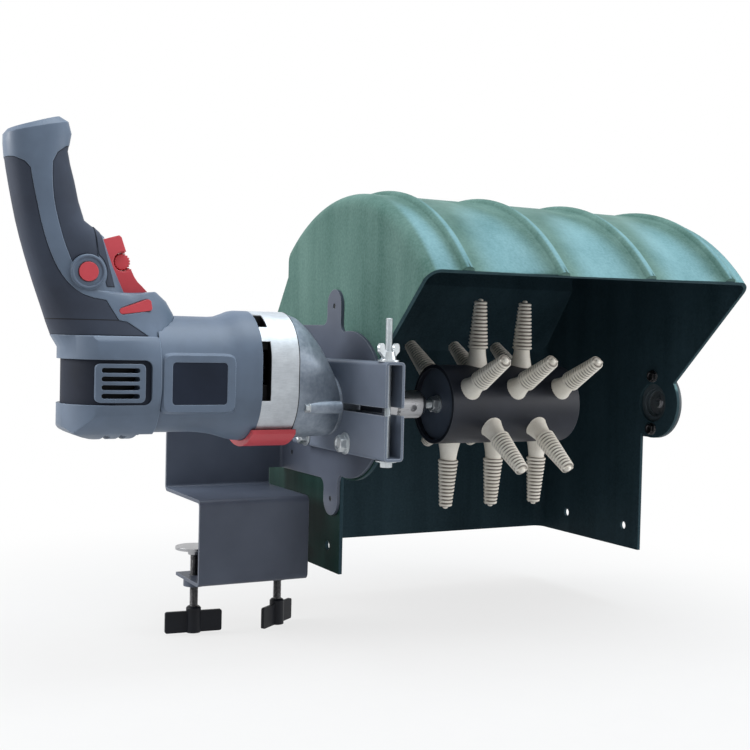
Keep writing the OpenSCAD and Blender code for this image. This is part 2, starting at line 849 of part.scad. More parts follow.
module front_grip_area() {
    polygon(concat(cut_corners(cut_corners([[-238, 150], [-215, 165], [-215, 215], [-272, 208], [-273, 170],
        [-264, 134], [-257, 117]])), [[-245, 96], [-233, 100]]));
}

module grip_skin() {
    difference() {
        handle_loft(grip_sunk);
        handle_loft(grip_t);
    }
}

// Plan of the drill's barrel with its round rear end
module barrel_plan(r) {
    translate([plan_x, 0]) circle(r);
    translate([plan_x, -r]) square([-seam_x - plan_x, 2 * r]);
}

module barrel_slab(r, z0, z1) {
    translate([0, 0, z0]) linear_extrude(z1 - z0) barrel_plan(r);
}

waist_z0 = 3;
waist_z1 = 39;
waist_x1 = -196.5;
barrel_top = 57.5;
vent_x = -221.5;
vent_z = 20.5;

// Recessed screws of the far handle shell: X, Z and the floor of the recess
SHELL_SCREWS = [[-286, 202, 14], [-276, 158, 15.5], [-188, 74, 16], [-236, -10, 24], [-200, -14, 26]];
screw_head = 7;

module rear_barrel() {
    r = barrel_r + 1;
    heel = [for (a = [0 : 11.25 : 90]) [-rear_x + 39 - 41 * cos(a), -7 - 20.5 * sin(a)]];
    intersection() {
        along_x(-rear_x, -seam_x) capsule_2d(r, barrel_low - 4, motor_z - 1);
        barrel_slab(r, -60, barrel_top);
        across_y(-60, 60) polygon(concat([[-rear_x - 2, barrel_top + past]], heel,
            [[-seam_x - 16, -28], [-seam_x - 11, -22], [-seam_x, -22], [-seam_x, barrel_top + past]]));
    }
}

module waist_groove(depth) {
    length = rear_x + 40 + waist_x1;
    intersection() {
        difference() {
            barrel_slab(barrel_r + 5, waist_z0, waist_z1);
            barrel_slab(barrel_r + 1 - depth, waist_z0 - past, waist_z1 + past);
        }
        across_y(-60, 60) translate([waist_x1 - length / 2, (waist_z0 + waist_z1) / 2])
            rounded_2d(length, waist_z1 - waist_z0, 6);
    }
}

module vent_grille() {
    difference() {
        intersection() {
            barrel_slab(barrel_r + 0.5, 4, 37);
            across_y(-60, 60) translate([vent_x, vent_z]) rounded_2d(39, 31, 4);
        }
        barrel_slab(barrel_r - 6, 3, 38);
    }
}

module trigger_frame() {
    translate([trigger_at[0], 0, trigger_at[1]]) rotate([0, -trigger_tilt, 0]) children();
}

// Everything that the two handle shells leave free
module shell_spaces() {
    slope = trigger_fall / (trigger_out + 8 + trigger_root);
    fall = slope * (30 + trigger_root + trigger_travel);
    rod_x(56, -rear_x + 16, -seam_x + past, 0, motor_z - 8);
    rod_x(bearing_d, -rear_x + 12, -rear_x + 17, 0, motor_z);
    rod_x(stator_d + 2 * clear, -seam_x - past, -seam_x + 30, 0, motor_z);
    for (k = [-1.5 : 1.5])
        across_y(-60, 60) translate([vent_x, vent_z + 6.8 * k]) rounded_2d(30, 4, 1.8);
    for (k = [0 : 2])
        translate([-231 + 13 * k, -22, -34]) rotate([0, 15, 0]) cube([6, 44, 12]);
    trigger_frame() across_y(-trigger_half - clear, trigger_half + clear)
        polygon([[-trigger_root - trigger_travel - past, trigger_low - clear],
            [-trigger_root - trigger_travel - past, trigger_high + clear],
            [30, trigger_high + clear], [30, trigger_low - clear - fall]]);
    switch_place(1);
    for (p = SHELL_SCREWS)
        rod_y(screw_head + 2 * bolt_clear, p[2], 60, p[0], p[1]);
    rod_y(lock_d + 2 * clear, -40, -14, lock_at[0], lock_at[1]);
    across_y(-60, 60) lever_2d(clear);
    rod_z(16, 196, 240, -283, 0);
}

module lever_2d(grow) {
    translate(lever_at) rotate(10) hull() {
        translate([-11, -1.6]) circle(2.6 + grow);
        translate([10.5, 1.9]) circle(2.9 + grow);
        translate([11, -2.3]) circle(2.4 + grow);
    }
}

module handle_shell() {
    difference() {
        union() {
            difference() {
                rear_barrel();
                waist_groove(5);
            }
            intersection() {
                vent_grille();
                rear_barrel();
            }
            handle_loft(grip_t);
            difference() {
                handle_loft(0);
                across_y(-60, 60) rear_grip_area();
                across_y(-60, 60) front_grip_area();
            }
            rod_y(28, -22.5, 0, lock_at[0], lock_at[1]);
        }
        shell_spaces();
        translate([-seam_x, -70, -70]) cube([120, 140, 132]);
        translate([-167, -70, 0]) cube([120, 140, 132]);
    }
}

module handle_shell_near() {
    color("lightslategray") from_jaw() intersection() {
        handle_shell();
        translate([-400, -100, -100]) cube([400, 100, 400]);
    }
}

module handle_shell_far() {
    color("lightslategray") from_jaw() intersection() {
        handle_shell();
        translate([-400, 0, -100]) cube([400, 100, 400]);
    }
}

module rear_grip() {
    color("darkslategray") from_jaw() difference() {
        intersection() {
            grip_skin();
            across_y(-60, 60) rear_grip_area();
        }
        rear_barrel();
    }
}

module front_grip() {
    color("darkslategray") from_jaw() difference() {
        intersection() {
            grip_skin();
            across_y(-60, 60) front_grip_area();
        }
        rod_y(28, -40, 0, lock_at[0], lock_at[1]);
        trigger_frame() across_y(-trigger_half - clear, trigger_half + clear)
            translate([-trigger_root, trigger_low - clear])
                square([60, trigger_high - trigger_low + 2 * clear]);
    }
}

module waist_band() {
    color("darkslategray") from_jaw() difference() {
        intersection() {
            difference() {
                waist_groove(5);
                barrel_slab(barrel_r + 5, waist_z1, waist_z1 + 20);
            }
            barrel_slab(barrel_r - 2, waist_z0, waist_z1);
        }
        intersection() {
            vent_grille();
            rear_barrel();
        }
    }
}

// Section of the motor housing at each distance before the ring: share of the swell below and above
HOUSING = [[50, 0, 0], [42, 0.1, 0], [34, 0.3, 0], [28, 0.48, 0.1], [22, 0.66, 0.45], [16, 0.83, 0.85],
    [11, 0.94, 1], [6, 1, 1], [0, 1, 1]];
CAPSULE_SIDES = 40;
FIELD_SIDES = 32;
panel_x = -156.5;
panel_z = 20.5;

function capsule_ring(x, r, low, high) =
    [for (i = [0 : CAPSULE_SIDES - 1])
        let (a = 360 * (i + 0.5) / CAPSULE_SIDES)
        [x, -r * cos(a), r * sin(a) + (sin(a) > 0 ? high : low)]];

function housing_ring(s) = capsule_ring(-ring_x - s[0], barrel_r + (ring_r - barrel_r) * s[2],
    barrel_low + (ring_low - barrel_low) * s[1], motor_z + (ring_high - motor_z) * s[2]);

// Raised field round a side panel, with sloping edges
function field_ring(s, y, grow) =
    [for (i = [0 : FIELD_SIDES - 1])
        let (a = 360 * ((s < 0 ? i : FIELD_SIDES - 1 - i) + 0.5) / FIELD_SIDES)
        [panel_x + sign(cos(a)) * pow(abs(cos(a)), 0.2) * (30.5 + grow), s * y,
            panel_z + sign(sin(a)) * pow(abs(sin(a)), 0.2) * (23 + grow)]];

module motor_housing() {
    front = -ring_x;
    color("lightslategray") from_jaw() difference() {
        union() {
            loft(concat([capsule_ring(-seam_x, barrel_r, barrel_low, motor_z)],
                [for (s = HOUSING) housing_ring(s)]));
            for (s = [-1, 1])
                loft([for (q = [[1.5, 0], [-2, 2], [-12, 2]]) field_ring(s, barrel_r + q[0], q[1])]);
        }
        for (s = [-1, 1])
            translate([panel_x, s * (barrel_r + 1.5), panel_z]) rotate([90, 0, 0])
                linear_extrude(2.4, center = true) rounded_2d(47, 34.5, 3);
        rod_x(stator_d, -seam_x - past, front + past, 0, motor_z);
        handle_loft(-clear);
    }
}

module side_panels() {
    color("black") from_jaw() for (s = [-1, 1])
        translate([panel_x, s * (barrel_r + 0.8), panel_z]) rotate([90, 0, 0])
            linear_extrude(1, center = true) rounded_2d(47, 34.5, 3);
}

module gear_ring() {
    x0 = -ring_x;
    color("lightgray") from_jaw() difference() {
        along_x(x0, ring_x1) capsule_2d(ring_r, ring_low, ring_high);
        rod_x(stator_d, x0 - past, wall_x0, 0, motor_z);
        rod_x(bearing_d, wall_x0 - past, wall_x1, 0, motor_z);
        rod_x(bearing_d, wall_x0 + past, wall_x1 + past, 0, 0);
        rod_x(bearing_d - 6, wall_x0 - past, wall_x1 + past, 0, motor_z);
        rod_x(2 * gear_tip_r() + 2, wall_x1, ring_x1 + past, 0, 0);
        rod_x(2 * pinion_tip_r() + 2, wall_x1, ring_x1 + past, 0, motor_z);
        for (s = [-1, 1]) {
            translate([x0 - past, s * 42 - 8, 6]) cube([8 + past, 16, 50]);
            translate([x0 - past, s * 24 - 8, 64]) cube([8 + past, 16, 30]);
        }
    }
}

// Gear-case nose: rounded rings of radius, lower and upper centre at each X
NOSE = [[0, 43.5, 14, 38], [10, 42, 13, 36], [20, 39.5, 11, 30], [30, 36, 8, 22], [38, 32, 4, 14],
    [44, 28.5, 1, 7], [47, 27, 0.4, 1]];

module gear_nose() {
    shoulder = ring_x1 + 47;
    color("darkgray") from_jaw() difference() {
        union() {
            loft([for (s = NOSE) capsule_ring(ring_x1 + s[0], s[1], s[2], s[3])]);
            rod_x(54, shoulder - 0.1, -tube_w);
            rod_x(neck_d - 2 * running, -tube_w - past, nose_gap);
            for (s = [-1, 1])
                rod_x(11, ring_x1 + 8, shoulder - 4, s * 36, 0);
        }
        rod_x(2 * gear_tip_r() + 2, ring_x1 - past, gear_x1 + 3);
        rod_x(2 * pinion_tip_r() + 2, ring_x1 - past, gear_x1 + 3, 0, motor_z);
        rod_x(spindle_d + 4, ring_x1 - past, nose_gap + past);
        rod_x(neck_bearing_d, nose_gap - 12, nose_gap + past);
    }
}

module shell_screws() {
    color("dimgray") from_jaw() for (p = SHELL_SCREWS)
        rod_y(screw_head, p[2], p[2] + 3, p[0], p[1]);
}

module cord_gland() {
    color("black") from_jaw() difference() {
        rod_z(16, 200, 223, -283, 0);
        rod_z(8.5, 199, 224, -283, 0);
    }
}

module switch_place(grow) {
    translate([-259, 0, 138]) rotate([0, -14, 0])
        cube([20 + 2 * grow, 26 + 2 * grow, 36 + 2 * grow], center = true);
}

module switch_module() {
    color("black") from_jaw() switch_place(0);
}

module trigger() {
    out = trigger_out;
    color("firebrick") from_jaw() trigger_frame() difference() {
        across_y(-trigger_half, trigger_half) polygon([[-trigger_root, trigger_low],
            [-trigger_root, trigger_high], [out - 1.5, trigger_high], [out, trigger_high - 2], [out + 0.4, 4],
            [out + 0.2, -7], [out + 1, -13], [out + 2.6, -18], [out + 5, -22],
            [out + 8, trigger_low - trigger_fall]]);
        rod_y(wheel_d + 2 * clear, -wheel_w / 2 - clear, wheel_w / 2 + clear, wheel_at[0], wheel_at[1]);
        rod_y(3, -wheel_w / 2 - 3, wheel_w / 2 + 3, wheel_at[0], wheel_at[1]);
    }
}

module speed_wheel() {
    color("firebrick") from_jaw() trigger_frame() {
        difference() {
            rod_y(wheel_d, -wheel_w / 2, wheel_w / 2, wheel_at[0], wheel_at[1]);
            for (i = [0 : 17])
                translate([wheel_at[0], 0, wheel_at[1]]) rotate([0, 20 * i, 0])
                    translate([wheel_d / 2 - 0.9, -wheel_w, -0.5]) cube([2, 2 * wheel_w, 1]);
        }
        rod_y(3 - 2 * running, -wheel_w / 2 - 2.7, wheel_w / 2 + 2.7, wheel_at[0], wheel_at[1]);
    }
}

module lock_button() {
    color("firebrick") from_jaw()
        rod_y(lock_d, -24, -24 + 6.5, lock_at[0], lock_at[1]);
}

module direction_lever() {
    color("firebrick") from_jaw() across_y(-lever_half, lever_half) lever_2d(0);
}

// Arched selector that slides round the bottom of the gear-case ring
module mode_selector() {
    r = ring_r + clear;
    color("firebrick") from_jaw() difference() {
        intersection() {
            rod_x(2 * (r + selector_t), -ring_x - 4, ring_x1 + 2, 0, ring_low);
            translate([-200, -33, -60]) cube([200, 66, 41]);
        }
        rod_x(2 * r, -ring_x - 5, ring_x1 + 3, 0, ring_low);
    }
}

// Motor and gears

module motor_stator() {
    color("gray") from_jaw()
        ring_x_part(stator_d - 2 * running, stator_bore, stator_x0, stator_x1, 0, motor_z);
}

module carbon_brushes() {
    color("black") from_jaw() for (s = [-1, 1])
        translate([-seam_x - 14, s * 18.8 - 6.4, motor_z - 4]) cube([8, 12.8, 8]);
}

module motor_bearings() {
    color("silver") from_jaw() {
        ring_x_part(bearing_d, journal_d + 2 * running, -rear_x + 12, -rear_x + 17, 0, motor_z);
        ring_x_part(bearing_d, journal_d + 2 * running, wall_x0, wall_x1, 0, motor_z);
    }
}

module spindle_bearings() {
    color("silver") from_jaw() {
        ring_x_part(bearing_d, journal_d + 2 * running, wall_x0 + past, wall_x1);
        ring_x_part(neck_bearing_d, spindle_d + 2 * running, nose_gap - 12, nose_gap - 2);
    }
}

module armature() {
    color("goldenrod") from_jaw() {
        rod_x(armature_d, stator_x0 + 2, stator_x1 - 2, 0, motor_z);
        rod_x(journal_d, -rear_x + 12.5, gear_x1, 0, motor_z);
    }
}

module commutator() {
    color("peru") from_jaw() ring_x_part(24, journal_d, -seam_x - 18, -seam_x - 2, 0, motor_z);
}

module fan() {
    color("black") from_jaw() difference() {
        union() {
            rod_x(18, fan_x0, fan_x1, 0, motor_z);
            rod_x(66, fan_x0, fan_x0 + 1.5, 0, motor_z);
            for (i = [0 : 15])
                translate([fan_x0 + past, 0, motor_z]) rotate([22.5 * i, 0, 0])
                    translate([0, 7, -0.8]) cube([fan_x1 - fan_x0 - past, 25, 1.6]);
        }
        rod_x(journal_d, fan_x0 - past, fan_x1 + past, 0, motor_z);
    }
}

function gear_tip_r() = gear_module * (gear_teeth / 2 + 0.7);
function pinion_tip_r() = gear_module * (pinion_teeth / 2 + 0.7);

// Spur gear with plain flanks and backlash
module gear_2d(teeth) {
    r = gear_module * teeth / 2;
    w = gear_module * PI / 2;
    circle(r - 0.9 * gear_module);
    for (i = [0 : teeth - 1])
        rotate(360 * i / teeth) polygon([[r - gear_module, -0.56 * w], [r, -0.4 * w],
            [r + 0.7 * gear_module, -0.2 * w], [r + 0.7 * gear_module, 0.2 * w], [r, 0.4 * w],
            [r - gear_module, 0.56 * w]]);
}

module pinion() {
    color("silver") from_jaw() difference() {
        translate([0, 0, motor_z]) along_x(gear_x0, gear_x1) rotate(-90) gear_2d(pinion_teeth);
        rod_x(journal_d, gear_x0 - past, gear_x1 + past, 0, motor_z);
    }
}

module spindle_gear() {
    color("silver") from_jaw() difference() {
        along_x(gear_x0, gear_x1) rotate(90 + gear_turn) gear_2d(gear_teeth);
        rod_x(spindle_d, gear_x0 - past, gear_x1 + past);
    }
}

module spindle() {
    color("silver") from_jaw() {
        rod_x(journal_d, wall_x0 + 2, gear_x0);
        rod_x(spindle_d, gear_x0 - 0.5, chuck_x0);
        rod_x(12, chuck_x0 - past, sleeve_x0 + 8);
    }
}

// Chuck and drum

module chuck_body() {
    color("gainsboro") from_jaw() difference() {
        union() {
            rod_x(sleeve_d - 4, chuck_x0, sleeve_x0 - 0.5);
            rod_x(chuck_core_d - 2 * clear, sleeve_x0 - past, sleeve_x1 + past);
            rod_x(nose_d, sleeve_x1, chuck_end - 5);
            translate([chuck_end - 5, 0, 0]) rotate([0, 90, 0]) cylinder(d1 = nose_d, d2 = nose_d - 7, h = 5);
        }
        rod_x(12, chuck_x0 - past, sleeve_x0 + 8);
        rod_x(shaft_d + 5, sleeve_x0 + 10, chuck_end + past);
        for (a = [0, 120, 240])
            rotate([a + 104, 0, 0]) rod_z(6.5, nose_d / 2 - 4, nose_d, chuck_end - 15, 0);
    }
}

// Knurled sleeve with a crown of key teeth at its front
module chuck_sleeve() {
    teeth = 30;
    color("silver") from_jaw() difference() {
        union() {
            rod_x(sleeve_d, sleeve_x0, sleeve_x1 - 5);
            translate([sleeve_x1 - 5, 0, 0]) rotate([0, 90, 0])
                cylinder(d1 = sleeve_d, d2 = sleeve_d - 5, h = 5);
        }
        rod_x(chuck_core_d, sleeve_x0 - past, sleeve_x1 + past);
        for (i = [0 : teeth - 1])
            rotate([360 * i / teeth, 0, 0])
                translate([sleeve_x1 - 4, sleeve_d / 2 - 4, -0.9]) cube([6, 6, 1.8]);
    }
}

module chuck_jaws() {
    bore = shaft_d + 5;
    color("silver") from_jaw() difference() {
        ring_x_part(bore - 2 * running, shaft_d, chuck_end - 24, chuck_end + 1);
        for (a = [0, 120, 240])
            rotate([a, 0, 0]) translate([chuck_end - 30, -1.2, 0]) cube([40, 2.4, bore]);
    }
}

module drum_shaft() {
    color("silver") from_jaw() rod_x(shaft_d, chuck_end - 24, disc_x1 + shaft_tail);
}

module finger_places() {
    for (k = [0 : finger_rows - 1])
        let (count = finger_max - (k + 1) % 2)
        for (i = [0 : count - 1])
            translate([drum_mid + (i - (count - 1) / 2) * finger_pitch, 0, 0])
                rotate([360 * k / finger_rows + drum_turn, 0, 0]) children();
}

module drum_pipe() {
    color("black") from_jaw() difference() {
        rod_x(drum_d, drum_x, drum_x + drum_len);
        rod_x(2 * drum_ri, drum_x - past, drum_x + drum_len + past);
        finger_places() cylinder(d = finger_hole_d, h = drum_d);
    }
}

module drum_discs() {
    color("black") from_jaw() {
        ring_x_part(2 * drum_ri, shaft_d, disc_x0, disc_x0 + cap_t);
        ring_x_part(2 * drum_ri, shaft_d, disc_x1 - cap_t, disc_x1);
    }
}

module drum_washers() {
    color("silver") from_jaw() {
        ring_x_part(2.1 * shaft_d, shaft_d, disc_x0 - washer_t, disc_x0);
        ring_x_part(2.1 * shaft_d, shaft_d, disc_x1, disc_x1 + washer_t);
    }
}

module drum_nuts() {
    color("silver") from_jaw() for (x = [disc_x0 - washer_t - nut_t, disc_x1 + washer_t])
        difference() {
            hex_x(1.62 * shaft_d, x, x + nut_t);
            rod_x(shaft_d, x - past, x + nut_t + past);
        }
}

// Finger outline of radius and height over the drum axis
module finger_2d() {
    z0 = drum_r - 2;
    z1 = drum_r + finger_neck;
    z2 = drum_r + finger_len - 2.5;
    p = (z2 - z1) / finger_ribs;
    ribs = [for (i = [0 : finger_ribs - 1], q = [[0, 1], [0.15, 0], [0.55, 0], [0.75, 1]])
        let (t = (i + q[0]) / finger_ribs)
        [(finger_rib_d + (finger_tip_d - finger_rib_d) * t) / 2 - finger_groove * q[1], z1 + p * (i + q[0])]];
    polygon(concat([[0, z0], [finger_foot_d / 2, z0], [finger_foot_d / 2, drum_r + 1],
        [finger_neck_d / 2, z1]], ribs, [[finger_tip_d / 2 - finger_groove, z2], [2.5, z2 + 0.5],
        [2, z2 + 2.5], [0, z2 + 2.5]]));
}

module rubber_fingers() {
    flange_top = sqrt(pow(drum_ri, 2) - pow(finger_flange_d / 2, 2)) - 0.1;
    color("cornsilk") from_jaw() finger_places() {
        difference() {
            rotate_extrude() finger_2d();
            rod_x(drum_d, -finger_foot_d, finger_foot_d);
        }
        translate([0, 0, flange_top - 4]) cylinder(d = finger_flange_d, h = 4);
        translate([0, 0, flange_top - past])
            cylinder(d = finger_hole_d - 0.2, h = drum_r + past - flange_top + 0.5);
    }
}

hood();
hood_screws();
tail_plate();
tail_bearing_housing();
tail_bolts();
tail_nuts();
bench_bracket();
weld_bosses();
collar_tube();
collar_bolts();
collar_nuts();
clamp_stud();
handle_shell_near();
handle_shell_far();
rear_grip();
front_grip();
waist_band();
motor_housing();
side_panels();
gear_ring();
gear_nose();
shell_screws();
cord_gland();
motor_stator();
carbon_brushes();
motor_bearings();
spindle_bearings();
switch_module();
armature();
commutator();
fan();
pinion();
spindle();
spindle_gear();
chuck_body();
chuck_sleeve();
chuck_jaws();
drum_shaft();
drum_pipe();
drum_discs();
drum_washers();
drum_nuts();
rubber_fingers();
tail_bearing_ring();
tail_stub();
trigger();
speed_wheel();
lock_button();
direction_lever();
mode_selector();
wing_nut();
clamp_washer();
pad_left();
pad_right();
screw_left();
screw_right();
screw_handle_left();
screw_handle_right();
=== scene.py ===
# %% [markdown]
# # A bench-clamped poultry plucker
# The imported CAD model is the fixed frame: every piece below follows its places and sizes.
# This script gives each surface its finish, and makes again in finer form the pieces
# whose small shapes show: ribbed fingers, screw threads, hexagon heads and soft shells.

# %% Load the frame
import json
import math

import bmesh
import bpy
from mathutils import Matrix, Vector


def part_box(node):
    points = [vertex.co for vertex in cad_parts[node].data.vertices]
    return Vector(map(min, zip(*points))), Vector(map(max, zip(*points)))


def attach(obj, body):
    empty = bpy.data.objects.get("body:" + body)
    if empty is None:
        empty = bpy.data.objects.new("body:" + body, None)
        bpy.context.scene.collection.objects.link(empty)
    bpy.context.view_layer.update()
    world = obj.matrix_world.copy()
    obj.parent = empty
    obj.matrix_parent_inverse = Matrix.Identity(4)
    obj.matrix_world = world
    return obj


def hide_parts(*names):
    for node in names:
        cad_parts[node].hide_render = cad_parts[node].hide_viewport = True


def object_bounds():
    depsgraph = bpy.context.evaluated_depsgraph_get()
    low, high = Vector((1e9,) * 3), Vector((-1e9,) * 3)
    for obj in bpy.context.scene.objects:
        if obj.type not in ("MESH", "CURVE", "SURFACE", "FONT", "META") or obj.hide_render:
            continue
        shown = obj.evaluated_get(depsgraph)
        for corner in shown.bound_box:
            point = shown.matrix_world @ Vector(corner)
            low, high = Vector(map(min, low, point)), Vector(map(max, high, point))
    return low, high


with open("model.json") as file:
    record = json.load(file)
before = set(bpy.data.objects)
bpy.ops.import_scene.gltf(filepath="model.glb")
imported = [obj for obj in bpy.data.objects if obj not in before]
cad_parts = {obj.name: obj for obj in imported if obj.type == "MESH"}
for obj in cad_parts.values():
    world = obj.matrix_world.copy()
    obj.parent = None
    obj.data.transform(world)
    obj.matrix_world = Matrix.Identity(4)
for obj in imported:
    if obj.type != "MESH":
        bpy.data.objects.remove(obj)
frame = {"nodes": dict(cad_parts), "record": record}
cad_low, cad_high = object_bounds()
cad_middle = (cad_low + cad_high) / 2
nodes = frame["nodes"]
scene = bpy.context.scene
scene.view_settings.view_transform = "Standard"
MM = 0.001
print("CAD box", [round(v, 3) for v in cad_low], [round(v, 3) for v in cad_high])

# %% [markdown]
# ## The camera
# The photograph was taken from the drill's side, a little above the drum. A camera is a
# place, three angles and a lens. They are written as such here, and turned into the
# camera's matrix: its right, up and backward directions.

# %% Camera
CAMERA_AT = Vector((-415.4, -1055.6, 152.7)) * MM
CAMERA_YAW = math.radians(28.06)
CAMERA_PITCH = math.radians(1.77)
CAMERA_ROLL = math.radians(1.33)
SENSOR_MM = 36
LENS_MM = 56.67
NEAREST = 50 * MM


def make_camera():
    data = bpy.data.cameras.new("photo_camera")
    data.sensor_width = SENSOR_MM
    data.lens = LENS_MM
    data.clip_start = NEAREST
    camera = bpy.data.objects.new("photo_camera", data)
    scene.collection.objects.link(camera)
    level = Vector((math.sin(CAMERA_YAW), math.cos(CAMERA_YAW), 0))
    forward = level * math.cos(CAMERA_PITCH) - Vector((0, 0, math.sin(CAMERA_PITCH)))
    side = forward.cross(Vector((0, 0, 1))).normalized()
    over = side.cross(forward)
    right = side * math.cos(CAMERA_ROLL) + over * math.sin(CAMERA_ROLL)
    up = over * math.cos(CAMERA_ROLL) - side * math.sin(CAMERA_ROLL)
    turn = Matrix((right, up, -forward)).transposed()
    camera.matrix_world = Matrix.Translation(CAMERA_AT) @ turn.to_4x4()
    scene.camera = camera
    return camera


camera = make_camera()
print("camera looks along", [round(v, 3) for v in -camera.matrix_world.col[2].xyz])

# %% [markdown]
# ## Writing node trees as sums
# Materials and Geometry Nodes are both trees of nodes. Written with links, a sum takes
# many lines. A small class wraps a socket and overloads + - * /, so that a formula reads
# as a formula, and one method makes any other node from its settings and inputs. Noise
# seldom leaves the middle of its range, so another method stretches that middle.

# %% Node helpers
NOISE_LOW, NOISE_HIGH = 0.3, 0.7


class Socket:
    """An output in a node tree. Arithmetic on it adds Math nodes."""

    def __init__(self, recipe, output):
        self.recipe = recipe
        self.output = output

    def __add__(self, other):
        return self.recipe.math("ADD", self, other)

    def __radd__(self, other):
        return self.recipe.math("ADD", other, self)

    def __sub__(self, other):
        return self.recipe.math("SUBTRACT", self, other)

    def __rsub__(self, other):
        return self.recipe.math("SUBTRACT", other, self)

    def __mul__(self, other):
        return self.recipe.math("MULTIPLY", self, other)

    def __rmul__(self, other):
        return self.recipe.math("MULTIPLY", other, self)

    def __truediv__(self, other):
        return self.recipe.math("DIVIDE", self, other)


class Recipe:
    """A node tree that is written down call by call."""

    def __init__(self, tree):
        self.tree = tree

    def fill(self, socket, value):
        if isinstance(value, Socket):
            self.tree.links.new(value.output, socket)
        else:
            socket.default_value = value

    def node(self, kind, settings=None, inputs=None, output=0):
        made = self.tree.nodes.new(kind)
        for name, value in (settings or {}).items():
            setattr(made, name, value)
        for key, value in (inputs or {}).items():
            self.fill(made.inputs[key], value)
        return Socket(self, made.outputs[output])

    def math(self, operation, *values):
        return self.node("ShaderNodeMath", {"operation": operation}, dict(enumerate(values)))

    def vector(self, operation, *values, output=0):
        return self.node("ShaderNodeVectorMath", {"operation": operation}, dict(enumerate(values)), output)

    def split(self, vector):
        return [self.node("ShaderNodeSeparateXYZ", inputs={"Vector": vector}, output=axis) for axis in "XYZ"]

    def remap(self, value, low, high, to_low=0.0, to_high=1.0, smooth=False):
        settings = {"interpolation_type": "SMOOTHSTEP" if smooth else "LINEAR"}
        inputs = {0: value, 1: low, 2: high, 3: to_low, 4: to_high}
        return self.node("ShaderNodeMapRange", settings, inputs)

    def spread(self, noise, to_low=0.0, to_high=1.0):
        return self.remap(noise, NOISE_LOW, NOISE_HIGH, to_low, to_high)


# %% [markdown]
# ## Finishes
# Each finish starts from the Principled shader. Its pattern reads Object coordinates,
# so it stays on the piece from every side, and every edge is softened by a Bevel node
# whose normal the surface bump builds on, because no real edge is a knife edge. Where
# that normal leans away from the flat one, the surface is near an edge. There each finish
# mixes in its edge tone, which is partly wear and partly painted light: a painted
# highlight on most edges and painted shade at the edges of soft rubber.

# %% A finish
EDGE_SAMPLES = 6
EDGE_LEAN_FROM, EDGE_LEAN_TO = 0.02, 0.25


class Finish(Recipe):
    """A material with object coordinates, patterns and a softened edge."""

    def __init__(self, name, edge_mm=0.6, **fixed):
        self.material = bpy.data.materials.new(name)
        self.material.use_nodes = True
        super().__init__(self.material.node_tree)
        self.shader = self.tree.nodes["Principled BSDF"]
        self.place = self.node("ShaderNodeTexCoord", output="Object")
        self.flat = self.node("ShaderNodeNewGeometry", output="Normal")
        self.edge = self.node("ShaderNodeBevel", {"samples": EDGE_SAMPLES}, {"Radius": edge_mm * MM})
        for setting, value in fixed.items():
            self.shader.inputs[setting.replace("_", " ")].default_value = value

    def stretched(self, scale):
        return self.node("ShaderNodeMapping", inputs={"Vector": self.place, "Scale": scale})

    def noise(self, scale, detail=3.0, rough=0.55, place=None):
        inputs = {"Vector": place or self.place, "Scale": scale, "Detail": detail, "Roughness": rough}
        return self.node("ShaderNodeTexNoise", inputs=inputs)

    def mix(self, factor, first, second):
        return self.node("ShaderNodeMix", {"data_type": "RGBA"}, {0: factor, 6: first, 7: second}, output=2)

    # Near an edge a finish mixes in its edge tone: partly wear, partly painted light (a highlight on hard
    # edges, shade on soft rubber).
    def edge_wear_and_light(self):
        """One on an edge and zero on a flat, from how far the softened normal leans."""
        lean = self.vector("DOT_PRODUCT", self.edge, self.flat, output="Value")
        return self.remap(1 - lean, EDGE_LEAN_FROM, EDGE_LEAN_TO)

    def colour(self, value):
        self.fill(self.shader.inputs["Base Color"], value)

    def rough(self, value):
        self.fill(self.shader.inputs["Roughness"], value)

    def bump(self, height, depth_mm, strength=1.0):
        inputs = {"Height": height, "Distance": depth_mm * MM, "Strength": strength, "Normal": self.edge}
        self.fill(self.shader.inputs["Normal"], self.node("ShaderNodeBump", inputs=inputs))
        return self.material


def rgb(red, green, blue):
    """A colour as it is seen on screen, in 0 to 255, as Blender's linear colour."""
    def linear(value):
        value = value / 255
        return value / 12.92 if value <= 0.04045 else ((value + 0.055) / 1.055) ** 2.4
    return (linear(red), linear(green), linear(blue), 1.0)


# %% [markdown]
# The hood is one moulded shell, coloured right through. The outside is a hazy grey green
# with streaks that run down the walls. Where the arch faces forward and up, a paler, bluer
# painted reflection of the sky lies on it. The outside turns a darker green towards the
# bottom, and the inside is painted a dark blue grey, as painted shade under the arch.
# A surface is outside where it faces away from the middle, either along the drum or round
# it, and so are the ribs, which stand out of the arch. The cut edges of the mouth, which
# face forward and down, get painted shade nearly as dark as the inside.

# %% Hood green
# The facing that gets the painted sky reflection, and that of the mouth's cut edges, which get painted shade.
SHEEN_SIDE = (0, -0.77, 0.64)
SHEEN_FROM, SHEEN_TO = 0.82, 0.99
MOUTH_SIDE = (0, -0.8, -0.6)
MOUTH_FROM, MOUTH_TO = 0.45, 0.55
MOUTH_SHADE = 0.9
FACING_BLUR = 0.02
ARCH_AXIS = (-72 * MM, 82 * MM)
ARCH_RADIUS = 204 * MM
RIB_FROM, RIB_TO = ARCH_RADIUS + 0.6 * MM, ARCH_RADIUS + 1.2 * MM
HOOD_STREAK = (30, 30, 3)
HOOD_WEAR_AND_SHEEN = 0.22
HEIGHT_FROM, HEIGHT_TO = -100 * MM, 60 * MM
HEIGHT_RAGGED = 50 * MM


